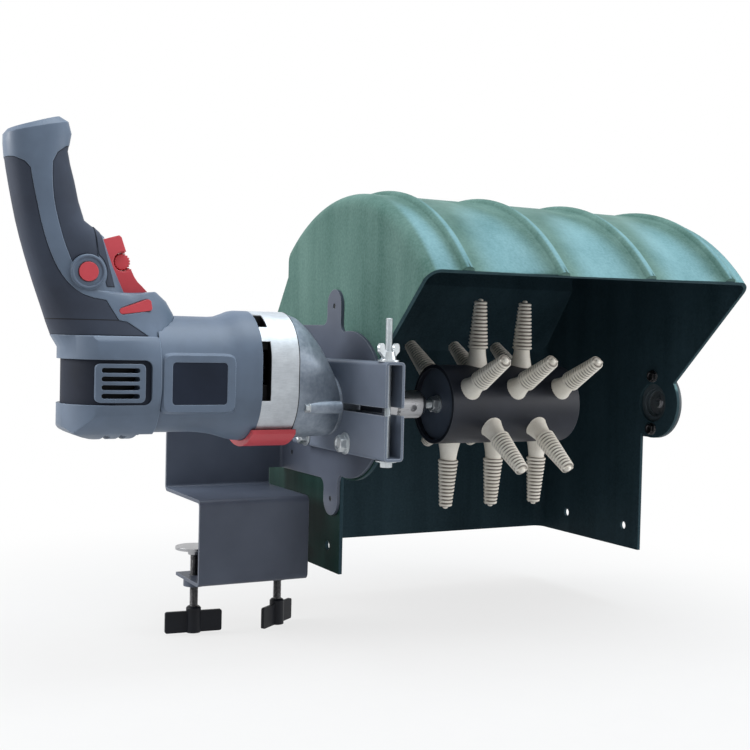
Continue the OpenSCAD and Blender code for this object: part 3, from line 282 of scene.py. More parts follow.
def hood_outside(finish, offset, uncut):
    """One on the hood's outer skin and its ribs, zero on its inside."""
    normal = finish.split(finish.flat)
    endways = finish.remap(normal[0] * offset[0], 0.0, FACING_BLUR)
    outward = finish.remap(normal[1] * offset[1] + normal[2] * offset[2], 0.0, FACING_BLUR)
    skin = finish.math("MAXIMUM", endways, outward) * uncut
    across, up = (part - at for part, at in zip(finish.split(finish.place)[1:], ARCH_AXIS))
    radius = finish.math("SQRT", across * across + up * up)
    rib = finish.remap(radius, RIB_FROM, RIB_TO) * finish.math("LESS_THAN", across, 0.0)
    return finish.math("MAXIMUM", skin, rib)


def hood_green():
    low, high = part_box("hood")
    finish = Finish("hood_green", edge_mm=1.2, Specular_IOR_Level=0.03)
    offset = finish.split(finish.vector("SUBTRACT", finish.place, (low + high) / 2))
    mouth = finish.vector("DOT_PRODUCT", finish.flat, MOUTH_SIDE, output="Value")
    # Painted shade on the mouth's cut edges, which face forward and down.
    uncut = 1 - finish.remap(mouth, MOUTH_FROM, MOUTH_TO) * MOUTH_SHADE
    outside = hood_outside(finish, offset, uncut)
    sheen_facing = finish.vector("DOT_PRODUCT", finish.flat, SHEEN_SIDE, output="Value")
    streak = finish.noise(1.0, detail=4, place=finish.stretched(HOOD_STREAK))
    cloud = finish.noise(11, detail=6)
    speck = finish.noise(420, detail=4)
    tone = finish.remap(streak * 0.42 + cloud * 0.28 + speck * 0.3, 0.36, 0.64)
    wall = finish.mix(tone, rgb(62, 93, 86), rgb(102, 131, 124))
    # Painted reflection of the sky: paler and bluer where the arch faces forward and up.
    painted_sheen = finish.mix(tone, rgb(92, 129, 133), rgb(124, 161, 167))
    wall_and_sheen = finish.mix(finish.remap(sheen_facing, SHEEN_FROM, SHEEN_TO, smooth=True), wall, painted_sheen)
    # Painted shade: the inside is painted a darker blue grey than the outside.
    inside_shade = finish.mix(tone, rgb(36, 53, 60), rgb(54, 74, 83))
    green = finish.mix(tone, rgb(8, 29, 27), rgb(20, 46, 42))
    # The outside turns a darker, deeper green towards the bottom.
    height = offset[2] + streak * HEIGHT_RAGGED
    by_height = finish.mix(finish.remap(height, HEIGHT_FROM, HEIGHT_TO, smooth=True), green, wall_and_sheen)
    body = finish.mix(outside, inside_shade, by_height)
    # Edges are mixed lighter: partly wear, partly painted highlight.
    finish.colour(finish.mix(finish.edge_wear_and_light() * HOOD_WEAR_AND_SHEEN * uncut, body, rgb(118, 150, 142)))
    finish.rough(finish.remap(speck * 0.4 + cloud * 0.6, 0.35, 0.65, 0.4, 0.56))
    peel = finish.noise(420, detail=2)
    return finish.bump(peel + cloud * 3, 0.12, 0.5)


# %% [markdown]
# The bracket, its plate and the collar tube are powder-coated steel: a dark blue-grey
# with a very fine grain. Where the sheet was cut, a paler line is partly rubbed coat and
# partly a painted highlight. The tube's ends were sawn after coating, so its edges are
# wider and brighter than the sheet's: bare steel with a painted highlight.

# %% Powder coat


def powder_coat(name, dark, light, edge_mm, wear_and_light, bare_and_lit):
    finish = Finish(name, edge_mm=edge_mm, Specular_IOR_Level=0.22)
    cloud = finish.noise(14, detail=4)
    grain = finish.noise(1500, detail=2)
    body = finish.mix(finish.spread(cloud), dark, light)
    # The edge tone: partly rubbed coat, partly painted highlight.
    finish.colour(finish.mix(finish.edge_wear_and_light() * wear_and_light, body, bare_and_lit))
    finish.rough(finish.spread(grain * 0.5 + cloud * 0.5, 0.38, 0.5))
    return finish.bump(grain, 0.05, 0.5)


# %% [markdown]
# Plated and ground steel differ in colour and in how they are brushed. One function
# takes the two tones, the roughness and the direction of the fine lines. Their edges are
# mixed near white: partly wear, partly a painted highlight.

# %% Bare metals
EVEN_GRAIN = (900, 900, 900)
LINES_ALONG_X = (60, 900, 900)


def bare_metal(name, dark, light, rough, lines=EVEN_GRAIN, depth_mm=0.006, metal=0.9):
    finish = Finish(name, edge_mm=0.35, Metallic=metal)
    cloud = finish.noise(60, detail=3)
    brushed = finish.noise(1.0, detail=2, place=finish.stretched(lines))
    body = finish.mix(finish.spread(cloud * 0.6 + brushed * 0.4), dark, light)
    # Near-white edges: partly wear, partly painted highlight.
    finish.colour(finish.mix(finish.edge_wear_and_light() * 0.5, body, rgb(236, 238, 240)))
    finish.rough(finish.spread(cloud * 0.5 + brushed * 0.5, rough - 0.08, rough + 0.1))
    return finish.bump(brushed, depth_mm, 0.6)


# %% [markdown]
# The gear case is die-cast alloy. Its ring was tumbled, which leaves short fine scratches
# round it and a silvery tone. The nose was left as cast: darker, blotched and pebbled.
# Alloy with an oxide skin is only partly mirror like, so Metallic stays below one. Edges
# are mixed lighter, partly rubbed and partly a painted highlight. The ring's inside and the
# walls of its slots are painted near black, as painted shade, and so is its joint to the
# nose, a dark joint: a point is inside where it lies nearer to the ring's middle line than
# its skin does.

# %% Cast alloy
RING_SHADE_FROM, SHADE_AND_JOINT_TO = 1.4 * MM, 0.6 * MM
JOINT_WIDTH = 1.0 * MM
SCRATCHES_ROUND_X = (160, 160, 1800)
EVEN_SCRATCHES = (240, 240, 240)


def ring_shade_and_joint(finish):
    """One inside the ring and at its joint, zero on its skin."""
    low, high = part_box("gear_ring")
    radius = (high.y - low.y) / 2
    x, y, z = finish.split(finish.place)
    across = y - (low.y + high.y) / 2
    level = finish.math("MAXIMUM", finish.math("MINIMUM", z, high.z - radius), low.z + radius)
    depth = finish.math("SQRT", across * across + (z - level) * (z - level))
    inside = 1 - finish.remap(depth, radius - RING_SHADE_FROM, radius - SHADE_AND_JOINT_TO)
    joint = finish.remap(x, high.x - JOINT_WIDTH, high.x - SHADE_AND_JOINT_TO)
    return finish.math("MAXIMUM", inside, joint)


def cast_alloy(name, dark, light, blotch_scale, pebble_mm, lines, shade_and_joint=None):
    finish = Finish(name, edge_mm=1.0, Metallic=0.6)
    blotch = finish.noise(blotch_scale, detail=6, rough=0.65)
    pebble = finish.noise(520, detail=3)
    scratch = finish.noise(1.0, detail=3, place=finish.stretched(lines))
    tone = finish.remap(blotch * 0.5 + scratch * 0.35 + pebble * 0.15, 0.34, 0.66)
    body = finish.mix(tone, dark, light)
    # Edges mixed lighter: partly rubbed, partly painted highlight.
    rubbed_and_lit = finish.mix(finish.edge_wear_and_light() * 0.45, body, rgb(214, 217, 220))
    # Painted shade inside the ring and its slots, with the dark joint to the nose.
    finish.colour(finish.mix(shade_and_joint(finish), rubbed_and_lit, rgb(10, 11, 13)) if shade_and_joint else rubbed_and_lit)
    finish.rough(finish.spread(pebble * 0.5 + scratch * 0.5, 0.4, 0.58))
    return finish.bump(pebble + scratch * 0.6, pebble_mm, 0.6)


# %% [markdown]
# The drill's shells are grained plastic. The grain is spark eroded into the mould, so it
# is fine and even, and only a slow change of tone shows from a step away. Edges of hard
# plastic get a painted highlight. The soft grips end in a dark groove instead, painted
# shade, and the rear one has a level line where two pieces of rubber meet.

# %% Moulded plastics
GRIP_LINE = 162.5 * MM
LINE_CORE, LINE_EDGE = 0.25 * MM, 0.6 * MM


def moulded_plastic(
    name, dark, light, edge_tone, rough=0.45, gloss=0.35, wear_and_light=0.65, edge_mm=0.8, grain_mm=0.05, line_z=None
):
    finish = Finish(name, edge_mm=edge_mm, Specular_IOR_Level=gloss)
    cloud = finish.noise(22, detail=4)
    grain = finish.noise(1200, detail=2)
    body = finish.mix(finish.spread(cloud), dark, light)
    edged = finish.edge_wear_and_light() * wear_and_light
    if line_z:
        away = finish.math("ABSOLUTE", finish.split(finish.place)[2] - line_z)
        edged = finish.math("MAXIMUM", edged, 1 - finish.remap(away, LINE_CORE, LINE_EDGE))
    # Edge tone: painted highlight on hard plastic, painted shade at soft rubber's edges, and the dark joint
    # line.
    finish.colour(finish.mix(edged, body, edge_tone))
    finish.rough(finish.spread(grain * 0.5 + cloud * 0.5, rough - 0.06, rough + 0.08))
    return finish.bump(grain, grain_mm, 0.6)


# %% [markdown]
# The fingers are cream moulded rubber: soft, matt and dusty, with slow changes of tone.
# The grooves between the ribs are painted darker, as painted shade. Pointiness would find
# them, but it differs with the mesh, so the tree that makes the fingers hands over how deep
# each point lies as an attribute of the mesh, and the finish darkens by it.

# %% Cream rubber
GROOVE = "groove"


def cream_rubber():
    finish = Finish("cream_rubber", edge_mm=0.25)
    cloud = finish.noise(55, detail=5)
    dust = finish.noise(700, detail=3)
    tone = finish.remap(cloud * 0.7 + dust * 0.3, 0.32, 0.68)
    unshaded = finish.mix(tone, rgb(226, 219, 206), rgb(245, 240, 230))
    sunk = finish.node("ShaderNodeAttribute", {"attribute_name": GROOVE}, output="Fac")
    # Painted shade in the grooves, by how deep each point lies.
    finish.colour(finish.mix(sunk * (0.75 + cloud * 0.35), unshaded, rgb(80, 69, 60)))
    finish.rough(finish.spread(dust, 0.5, 0.66))
    return finish.bump(dust, 0.05, 0.5)


# %% [markdown]
# Each finish is made once. Most have the name of a slot in the record. The others are for
# pieces whose tone differs from their slot's, which the next step lists. The first two
# colours are the surface's dark and light tones, and a third is the tone of its edges.

# %% All finishes
FINISH = {
    "hood_green": hood_green(),
    "bracket_steel": powder_coat(
        "bracket_powder_coat", rgb(70, 76, 89), rgb(84, 91, 105), 0.7, 0.75, rgb(150, 156, 164)
    ),
    # The bracket's coat painted lighter for the collar tube, as painted light where the nose keeps light off
    # it.
    "collar_steel": powder_coat(
        "collar_powder_coat", rgb(94, 102, 116), rgb(110, 119, 134), 1.5, 0.9, rgb(176, 184, 194)
    ),
    "zinc_steel": bare_metal("zinc_plate", rgb(168, 174, 178), rgb(200, 206, 209), 0.34, metal=0.75),
    "bright_steel": bare_metal(
        "ground_steel", rgb(146, 147, 150), rgb(170, 171, 174), 0.3, LINES_ALONG_X, depth_mm=0.004
    ),
    "clamp_steel": bare_metal("clamp_steel", rgb(44, 44, 47), rgb(82, 81, 83), 0.36),
    "dark_steel": bare_metal("oxide_steel", rgb(34, 36, 38), rgb(66, 68, 70), 0.42),
    "ring_alloy": cast_alloy(
        "ring_alloy", rgb(168, 173, 179), rgb(200, 205, 210), 70, 0.04, SCRATCHES_ROUND_X, shade_and_joint=ring_shade_and_joint
    ),
    "nose_alloy": cast_alloy(
        "nose_alloy", rgb(118, 129, 142), rgb(164, 173, 185), 34, 0.09, EVEN_SCRATCHES
    ),
    "drill_grey": moulded_plastic(
        "drill_grey", rgb(84, 97, 114), rgb(98, 112, 131), rgb(140, 155, 175), wear_and_light=0.85, edge_mm=1.1
    ),
    "grip_rubber": moulded_plastic(
        "grip_rubber", rgb(46, 51, 63), rgb(58, 65, 79), rgb(14, 16, 21),
        rough=0.62, gloss=0.22, wear_and_light=0.95, edge_mm=1.8, grain_mm=0.09, line_z=GRIP_LINE
    ),
    "waist_rubber": moulded_plastic(
        "waist_rubber", rgb(28, 32, 42), rgb(38, 43, 55), rgb(12, 14, 18), rough=0.6, gloss=0.12
    ),
    "red_plastic": moulded_plastic(
        "red_plastic", rgb(188, 62, 71), rgb(208, 79, 88), rgb(224, 114, 116), rough=0.38
    ),
    "black_plastic": moulded_plastic(
        "black_plastic", rgb(14, 16, 21), rgb(25, 28, 35), rgb(50, 54, 62), gloss=0.18
    ),
    "panel_black": moulded_plastic(
        "panel_black", rgb(26, 32, 44), rgb(35, 42, 56), rgb(58, 66, 82), rough=0.55, gloss=0.12
    ),
    "drum_black": moulded_plastic(
        "drum_black", rgb(22, 25, 33), rgb(35, 39, 49), rgb(112, 117, 126), rough=0.46, gloss=0.26
    ),
    # The drum's discs are black like the drum; this copy is painted lighter, as painted light in the collar's
    # shade.
    "disc_black": moulded_plastic(
        "disc_black", rgb(66, 75, 90), rgb(86, 95, 110), rgb(124, 132, 145), gloss=0.3
    ),
    "bearing_black": moulded_plastic(
        "bearing_black", rgb(60, 69, 74), rgb(80, 90, 96), rgb(126, 136, 141), rough=0.5
    ),
    "cream_rubber": cream_rubber(),
    "copper": bare_metal("turned_copper", rgb(128, 70, 46), rgb(166, 100, 70), 0.34),
}
print("finishes", len(FINISH))

# %% [markdown]
# ## Dressing the CAD pieces
# The record names a slot for each node. A few nodes share a slot but not a tone, so they
# are named here. A CAD mesh is never changed: only its material slots are.

# %% Dress every node
OWN_FINISH = {
    "collar_tube": "collar_steel",
    "gear_ring": "ring_alloy",
    "gear_nose": "nose_alloy",
    "side_panels": "panel_black",
    "drum_pipe": "drum_black",
    "drum_discs": "disc_black",
    "waist_band": "waist_rubber",
    "screw_left": "clamp_steel",
    "screw_right": "clamp_steel",
    "pad_left": "bright_steel",
    "pad_right": "bright_steel",
    "tail_bolts": "clamp_steel",
    "tail_nuts": "clamp_steel",
    "tail_plate": "bearing_black",
    "tail_bearing_housing": "bearing_black",
}
node_slot = {part["node"]: part["material_slot"] for part in frame["record"]["subparts"]}


def finish_of(name):
    return FINISH[OWN_FINISH.get(name, node_slot[name])]


for name, thing in nodes.items():
    for slot in thing.material_slots:
        slot.material = finish_of(name)
print("dressed", len(nodes), "nodes")

# %% [markdown]
# ## Floor and light
# The plucker is shown against white. The floor is a plain pale sheet that keeps the soft
# shadow under the object, and farther out it turns into plain white for the camera and
# for reflections, but not for the rays that carry light.

# %% Floor
FLOOR_SIZE = 14.0
FLOOR_GAP = 2 * MM
FLOOR_DARK, FLOOR_LIGHT = (0.5, 0.5, 0.5, 1), (0.54, 0.54, 0.54, 1)
WHITE = (1, 1, 1, 1)
LEVEL_ONLY = (1, 1, 0)
SHADOW_REACH = (0.3, 0.72)
SHADOW_SHARE = 0.25
SEEN_RAYS = ("Camera", "Glossy", "Transmission")


def seen_ray(recipe):
    """One for camera, glossy and transmission rays, zero for the rays that carry light."""
    rays = [recipe.node("ShaderNodeLightPath", output=f"Is {kind} Ray") for kind in SEEN_RAYS]
    return recipe.math("MINIMUM", rays[0] + rays[1] + rays[2], 1.0)


def pale_floor():
    finish = Finish("pale_floor", Roughness=0.9)
    speckle = finish.noise(40, detail=3)
    finish.colour(finish.mix(speckle, FLOOR_DARK, FLOOR_LIGHT))
    level = finish.vector("MULTIPLY", finish.vector("SUBTRACT", finish.place, cad_middle), LEVEL_ONLY)
    distance = finish.vector("LENGTH", level, output="Value")
    white = finish.remap(distance, *SHADOW_REACH, 1 - SHADOW_SHARE, 1.0, smooth=True)
    glow = finish.node("ShaderNodeEmission", inputs={"Color": WHITE, "Strength": 1.0})
    sheet = Socket(finish, finish.shader.outputs[0])
    both = finish.node("ShaderNodeMixShader", inputs={0: white * seen_ray(finish), 1: sheet, 2: glow})
    finish.fill(finish.tree.nodes["Material Output"].inputs["Surface"], both)
    return finish.material


def make_floor():
    half = FLOOR_SIZE / 2
    height = cad_low.z - FLOOR_GAP
    corners = [(-half, -half, height), (half, -half, height), (half, half, height), (-half, half, height)]
    mesh = bpy.data.meshes.new("floor")
    mesh.from_pydata(corners, [], [(0, 1, 2, 3)])
    mesh.materials.append(pale_floor())
    floor = bpy.data.objects.new("floor", mesh)
    scene.collection.objects.link(floor)
    return floor


floor = make_floor()
print("floor at", round(floor.data.vertices[0].co.z, 4))

# %% [markdown]
# The world is plain white where it is seen and a dim, even light on the object. Three
# round lamps do the rest: a wide, faintly blue one overhead for the arch, one beyond the
# drill's end, and a weak one in front for the drum. Together they make a colour render
# about as it is written.

# %% World and lamps
FILL_LIGHT = 0.29
LAMPS = {
    "overhead": {"place": (0.35, -0.42, 1.75), "size": 1.6, "power": 38, "tint": (0.87, 0.945, 1.0)},
    "drill_end": {"place": (-2.0, 0.5, 0.95), "size": 1.3, "power": 46},
    "front_fill": {"place": (1.3, -0.9, 0.35), "size": 0.8, "power": 9},
}


def make_world():
    world = bpy.data.worlds.new("studio")
    world.use_nodes = True
    scene.world = world
    sky = Recipe(world.node_tree)
    background = world.node_tree.nodes["Background"]
    background.inputs["Color"].default_value = WHITE
    sky.fill(background.inputs["Strength"], seen_ray(sky) * (1 - FILL_LIGHT) + FILL_LIGHT)


def make_lamp(name, place, size, power, tint=(1, 1, 1)):
    data = bpy.data.lights.new(name, "AREA")
    data.shape = "DISK"
    data.size = size
    data.energy = power
    data.color = tint
    lamp = bpy.data.objects.new(name, data)
    lamp.location = place
    lamp.rotation_euler = (cad_middle - Vector(place)).to_track_quat("-Z", "Y").to_euler()
    scene.collection.objects.link(lamp)


make_world()
for name, lamp in LAMPS.items():
    make_lamp(name, **lamp)
print("lamps", list(LAMPS))

# %% [markdown]
# ## Smooth skins for the moulded shells
# The handle, grips, barrel and nose are lofts: exact in place, but made of flat facets. A
# copy whose loose triangles are welded can be shaded smooth across shallow angles,
# while real edges stay sharp. The copy stands for the node, which keeps its collision.

# %% Smooth copies
SMOOTH_NODES = (
    "handle_shell_near", "handle_shell_far", "rear_grip", "front_grip", "motor_housing", "gear_nose",
)
SMOOTH_LIMIT = math.radians(38)
WELD = 1e-6


def node_body(name):
    for body, members in frame["record"]["behaviour"]["bodies"].items():
        if name in members:
            return body


def carried(piece, body):
    """The piece moves with the body."""
    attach(piece, body)
    return piece


def stand_in(piece, name):
    """The piece moves with the node's body, and the node is hidden so that the piece shows in its place."""
    carried(piece, node_body(name))
    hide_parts(name)
    return piece


def welded(name):
    shell = bmesh.new()
    shell.from_mesh(nodes[name].data)
    bmesh.ops.remove_doubles(shell, verts=shell.verts, dist=WELD)
    return shell


def crisp(shell):
    """Smooth across shallow angles, sharp across real edges."""
    for face in shell.faces:
        face.smooth = True
    for edge in shell.edges:
        edge.smooth = len(edge.link_faces) == 2 and edge.calc_face_angle(0.0) < SMOOTH_LIMIT


def as_piece(name, shell, material):
    mesh = bpy.data.meshes.new(name)
    shell.to_mesh(mesh)
    shell.free()
    mesh.materials.append(material)
    piece = bpy.data.objects.new(name, mesh)
    scene.collection.objects.link(piece)
    return piece


def smooth_copy(name):
    shell = welded(name)
    crisp(shell)
    return stand_in(as_piece(name + "_skin", shell, finish_of(name)), name)


for name in SMOOTH_NODES:
    skin = smooth_copy(name)
    print(skin.name, len(skin.data.polygons), "faces")

# %% [markdown]
# ## The hood's mouth
# The mouth isn't quite straight, as if it had been trimmed by hand after moulding: towards
# the drill its edge lies a few millimetres lower than the level cut of the CAD. The edge's
# points lie on one plane, so a welded copy of the hood is enough: those points slide on
# along the wall, and the points behind them follow, less and less.

# %% Trimmed mouth
TRIM = 5 * MM
TRIM_FROM, TRIM_TO = 200 * MM, 430 * MM
TRIM_DEPTH = 30 * MM
TRIM_SIDE = Vector((0, -1, -1)).normalized()
MOUTH_FOOT, MOUTH_TOP = 130 * MM, 170 * MM


def fade(value, start, end):
    """Rises softly from zero at the start to one at the end."""
    share = min(max((value - start) / (end - start), 0.0), 1.0)
    return share * share * (3 - 2 * share)


def trimmed_hood():
    shell = welded("hood")
    brim = min(point.co.y + point.co.z for point in shell.verts if point.co.z > MOUTH_TOP)
    moved = 0
    for point in shell.verts:
        behind = (point.co.y + point.co.z - brim) / math.sqrt(2)
        share = fade(point.co.z, MOUTH_FOOT, MOUTH_TOP) * (1 - fade(point.co.x, TRIM_FROM, TRIM_TO))
        share *= 1 - fade(behind, 0.0, TRIM_DEPTH)
        point.co += TRIM_SIDE * TRIM * share
        moved += share > 0
    print("hood mouth", moved, "points slid")
    return stand_in(as_piece("hood_skin", shell, finish_of("hood")), "hood")


trimmed_hood()

# %% [markdown]
# ## Turned and threaded pieces from rules
# Ribbed fingers, threads and hexagons repeat, and each follows a short rule. A Geometry
# Nodes tree states the rule once: it starts from a plain tube, and moves each ring of
# the tube to a radius and a height. The sizes are the tree's named inputs, so one rule
# makes every bolt. The result is turned into a plain mesh, and then stands for the node.

# %% A tree that makes shapes
AXIS_X, AXIS_Y = (1, 0, 0), (0, 1, 0)
QUARTER_TURN = math.pi / 2


class Shape(Recipe):
    """A Geometry Nodes tree: named sizes go in, a plain dressed mesh comes out."""

    def __init__(self, name, sizes):
        super().__init__(bpy.data.node_groups.new(name, "GeometryNodeTree"))
        self.keys = {}
        for size, value in sizes.items():
            kind = "NodeSocketInt" if isinstance(value, int) else "NodeSocketFloat"
            socket = self.tree.interface.new_socket(size, in_out="INPUT", socket_type=kind)
            socket.default_value = value
            self.keys[size] = socket.identifier
        self.tree.interface.new_socket("Mesh", in_out="OUTPUT", socket_type="NodeSocketGeometry")
        self.given = self.tree.nodes.new("NodeGroupInput")
        self.made = self.tree.nodes.new("NodeGroupOutput")

    def size(self, name):
        return Socket(self, self.given.outputs[name])

    def xyz(self, x, y, z):
        return self.node("ShaderNodeCombineXYZ", inputs={"X": x, "Y": y, "Z": z})

    def turn(self, axis, angle):
        return self.node("FunctionNodeAxisAngleToRotation", inputs={"Axis": axis, "Angle": angle})

    def tube(self, around, along):
        """A closed tube of radius 1, with the X and Y of its points and the number of their ring."""
        settings = {"fill_type": "NGON"}
        inputs = {"Vertices": around, "Side Segments": along, "Radius": 1.0, "Depth": 1.0}
        mesh = self.node("GeometryNodeMeshCylinder", settings, inputs)
        x, y, z = self.split(self.node("GeometryNodeInputPosition"))
        return mesh, x, y, (z + 0.5) * along

    def drawn(self, mesh, x, y, radius, height):
        """The tube with each ring at its radius and height, shaded smooth."""
        inputs = {"Geometry": mesh, "Position": self.xyz(x * radius, y * radius, height)}
        moved = self.node("GeometryNodeSetPosition", inputs=inputs)
        return self.node("GeometryNodeSetShadeSmooth", inputs={"Geometry": moved, "Shade Smooth": True})

    def placed(self, geometry, axis, angle):
        """The geometry turned about the axis and moved to the sizes X, Y and Z."""
        inputs = {
            "Geometry": geometry,
            "Translation": self.xyz(*(self.size(name) for name in "XYZ")),
            "Rotation": self.turn(axis, angle),
        }
        return self.node("GeometryNodeTransform", inputs=inputs)

    def pick(self, ring, values):
        """The value of each ring in turn."""
        total = 0.0
        for number, value in enumerate(values):
            total = self.math("COMPARE", ring, number, 0.5) * value + total
        return total

    def close(self, geometry, material):
        real = self.node("GeometryNodeRealizeInstances", inputs={"Geometry": geometry})
        dressed = self.node("GeometryNodeSetMaterial", inputs={"Geometry": real, "Material": material})
        self.fill(self.made.inputs["Mesh"], dressed)
        return self


def plain(name, shape, sizes):
    """Runs a tree with these sizes and keeps the plain mesh, with its real edges sharp."""
    piece = bpy.data.objects.new(name, bpy.data.meshes.new(name + "_seed"))
    scene.collection.objects.link(piece)
    modifier = piece.modifiers.new("grow", "NODES")
    modifier.node_group = shape.tree
    for size, value in sizes.items():
        modifier[shape.keys[size]] = value
    evaluated = piece.evaluated_get(bpy.context.evaluated_depsgraph_get())
    mesh = bpy.data.meshes.new_from_object(evaluated)
    piece.modifiers.remove(modifier)
    shell = bmesh.new()
    shell.from_mesh(mesh)
    crisp(shell)
    shell.to_mesh(mesh)
    shell.free()
    mesh.name = name
    piece.data = mesh
    return piece


def grow(name, shape, sizes):
    """The plain mesh of a tree stands for the node."""
    piece = plain(name + "_made", shape, sizes)
    mesh = piece.data
    low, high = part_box(name)
    spans = [[point.co[axis] for point in mesh.vertices] for axis in range(3)]
    off = max(max(abs(min(span) - low[axis]), abs(max(span) - high[axis])) for axis, span in enumerate(spans))
    print(piece.name, len(mesh.polygons), "faces, box within", round(off / MM, 2), "mm of the node's")
    return stand_in(piece, name)


# %% [markdown]
# ## The rubber fingers
# Fifteen fingers stand on the drum in six rows, by turns two and three in a row. A finger
# is turned about its own axis: a trumpet foot that sits on the round drum, a plain neck,
# a shoulder, thirteen ribs that taper, and a small nub where the mould was filled. Each
# rib has ten rings of points, so its crest is flat and its groove narrow. The grooves stop
# at two lands, where the halves of the mould met. How deep a point lies in a groove is
# stored for the finish.

# %% Ribbed fingers
FOOT_RINGS = 14
RIB_RINGS = 10
TIP_RINGS = 8
FINGER_SIDES = 24
ROW_PAIR = 5
FOOT_SUNK = 2 * MM
FOOT_FLARE = 1.5
LAND_FROM, LAND_TO = 0.955, 0.985
GROOVE_FLOOR, GROOVE_WALL = 0.12, 0.25
NUB_ROUND = 0.96
FINGER_SIZES = {
    "Fingers": 15,
    "Ribs": 13,
    "Drum radius": 37.5 * MM,
    "Drum middle": 230.5 * MM,
    "Axis Y": -97 * MM,
    "Axis Z": 92 * MM,
    "Turn": math.radians(3.8),
    "Row angle": math.radians(60),
    "Pitch": 51.5 * MM,
    "Length": 64 * MM,
    "Neck length": 16 * MM,
    "Foot radius": 11 * MM,
    "Neck radius": 7.7 * MM,
    "Rib radius": 9.75 * MM,
    "Tip radius": 6.25 * MM,
    "Groove depth": 1.3 * MM,
    "Nub radius": 2.5 * MM,
    "Nub length": 2.5 * MM,
}


def one_finger(shape):
    size = shape.size
    ribs = size("Ribs")
    last = ribs * RIB_RINGS + (FOOT_RINGS + 1 + TIP_RINGS)
    mesh, x, y, ring = shape.tube(FINGER_SIDES, last)
    foot = shape.remap(ring, 0, FOOT_RINGS)
    along = shape.remap(ring, FOOT_RINGS + 1, last - TIP_RINGS)
    tip = shape.remap(ring, last - TIP_RINGS, last)
    flare = shape.math("POWER", 1 - foot, FOOT_FLARE)
    neck = size("Neck radius") + (size("Foot radius") - size("Neck radius")) * flare
    phase = shape.math("FRACT", along * ribs + 0.5) - 0.5
    land = shape.remap(shape.math("ABSOLUTE", x), LAND_FROM, LAND_TO)
    groove = (1 - shape.remap(shape.math("ABSOLUTE", phase), GROOVE_FLOOR, GROOVE_WALL)) * (1 - land)
    crest = size("Rib radius") + (size("Tip radius") - size("Rib radius")) * along
    ribbed = crest - groove * size("Groove depth")
    on_ribs = shape.math("GREATER_THAN", ring, FOOT_RINGS + 0.5)
    body = neck * (1 - on_ribs) + ribbed * on_ribs
    dome = shape.math("POWER", shape.remap(tip, 0.5, 1.0), 2.0)
    nub = size("Nub radius") * shape.math("SQRT", 1 - dome * NUB_ROUND)
    at_tip = shape.remap(tip, 0.0, 1 / TIP_RINGS)
    radius = body * (1 - at_tip) + nub * at_tip
    shaft = size("Length") - size("Neck length") - size("Nub length")
    seat = size("Drum radius")
    rise = seat - FOOT_SUNK + (size("Neck length") + FOOT_SUNK) * foot + shaft * along
    height = rise + size("Nub length") * shape.remap(tip, 1 / TIP_RINGS, 1.0)
    sideways = y * radius
    drum_top = shape.math("SQRT", seat * seat - sideways * sideways)
    # How deep each point lies in a groove, for the finish's painted groove shade.
    groove_shade = {"Geometry": mesh, "Name": GROOVE, "Value": groove * on_ribs * (1 - at_tip)}
    marked = shape.node("GeometryNodeStoreNamedAttribute", {"data_type": "FLOAT", "domain": "POINT"}, groove_shade)
    return shape.drawn(marked, x, y, radius, shape.math("MAXIMUM", height, drum_top))


def finger_shape():
    shape = Shape("ribbed_fingers", FINGER_SIZES)
    size = shape.size
    finger = one_finger(shape)
    number = shape.node("GeometryNodeInputIndex")
    pair = shape.math("FLOOR", number / ROW_PAIR)
    inner = number - pair * ROW_PAIR
    three = shape.math("GREATER_THAN", inner, 1.5)
    across = inner - three * 2 - (three + 1) * 0.5
    place = shape.xyz(size("Drum middle") + across * size("Pitch"), size("Axis Y"), size("Axis Z"))
    points = shape.node("GeometryNodePoints", inputs={"Count": size("Fingers"), "Position": place})
    lean = shape.turn(AXIS_X, (pair * 2 + three) * size("Row angle") + size("Turn"))
    inputs = {"Points": points, "Instance": finger, "Rotation": lean}
    return shape.close(shape.node("GeometryNodeInstanceOnPoints", inputs=inputs), finish_of("rubber_fingers"))


grow("rubber_fingers", finger_shape(), FINGER_SIZES)

# %% [markdown]
# ## Threads
# A thread is a groove that climbs once round the rod for each pitch. On the tube, that is
# the height plus the share of a turn, of which only the fraction counts: it gives the
# place between two crests. The two clamp screws and the drum's shaft are such rods.

# %% Threaded rods
ROD_SIDES = 24
RINGS_PER_PITCH = 8
CREST_SHARE, ROOT_SHARE = 0.15, 0.9
BLUNT_END = 1.3
ROD_SIZES = {
    "X": 0.0, "Y": 0.0, "Z": 0.0, "Lay": 0.0,
    "Length": 80 * MM, "Radius": 4 * MM, "Pitch": 1.25 * MM, "Depth": 0.6 * MM,
}


def threaded_rod(shape, length):
    size = shape.size
    rings = shape.math("CEIL", length / size("Pitch") * RINGS_PER_PITCH)
    mesh, x, y, ring = shape.tube(ROD_SIDES, rings)
    height = ring / rings * length
    turn = shape.math("ARCTAN2", y, x) / math.tau
    phase = shape.math("FRACT", height / size("Pitch") - turn)
    groove = 1 - shape.math("ABSOLUTE", phase * 2 - 1)
    from_end = shape.math("MINIMUM", height, length - height)
    crest = size("Radius") - size("Depth") * shape.remap(groove, CREST_SHARE, ROOT_SHARE)
    blunt = size("Radius") - size("Depth") * BLUNT_END + from_end
    return shape.drawn(mesh, x, y, shape.math("MINIMUM", crest, blunt), height)


def rod_shape(material):
    shape = Shape("threaded_rod", ROD_SIZES)
    rod = threaded_rod(shape, shape.size("Length"))
    return shape.close(shape.placed(rod, AXIS_Y, shape.size("Lay")), material)


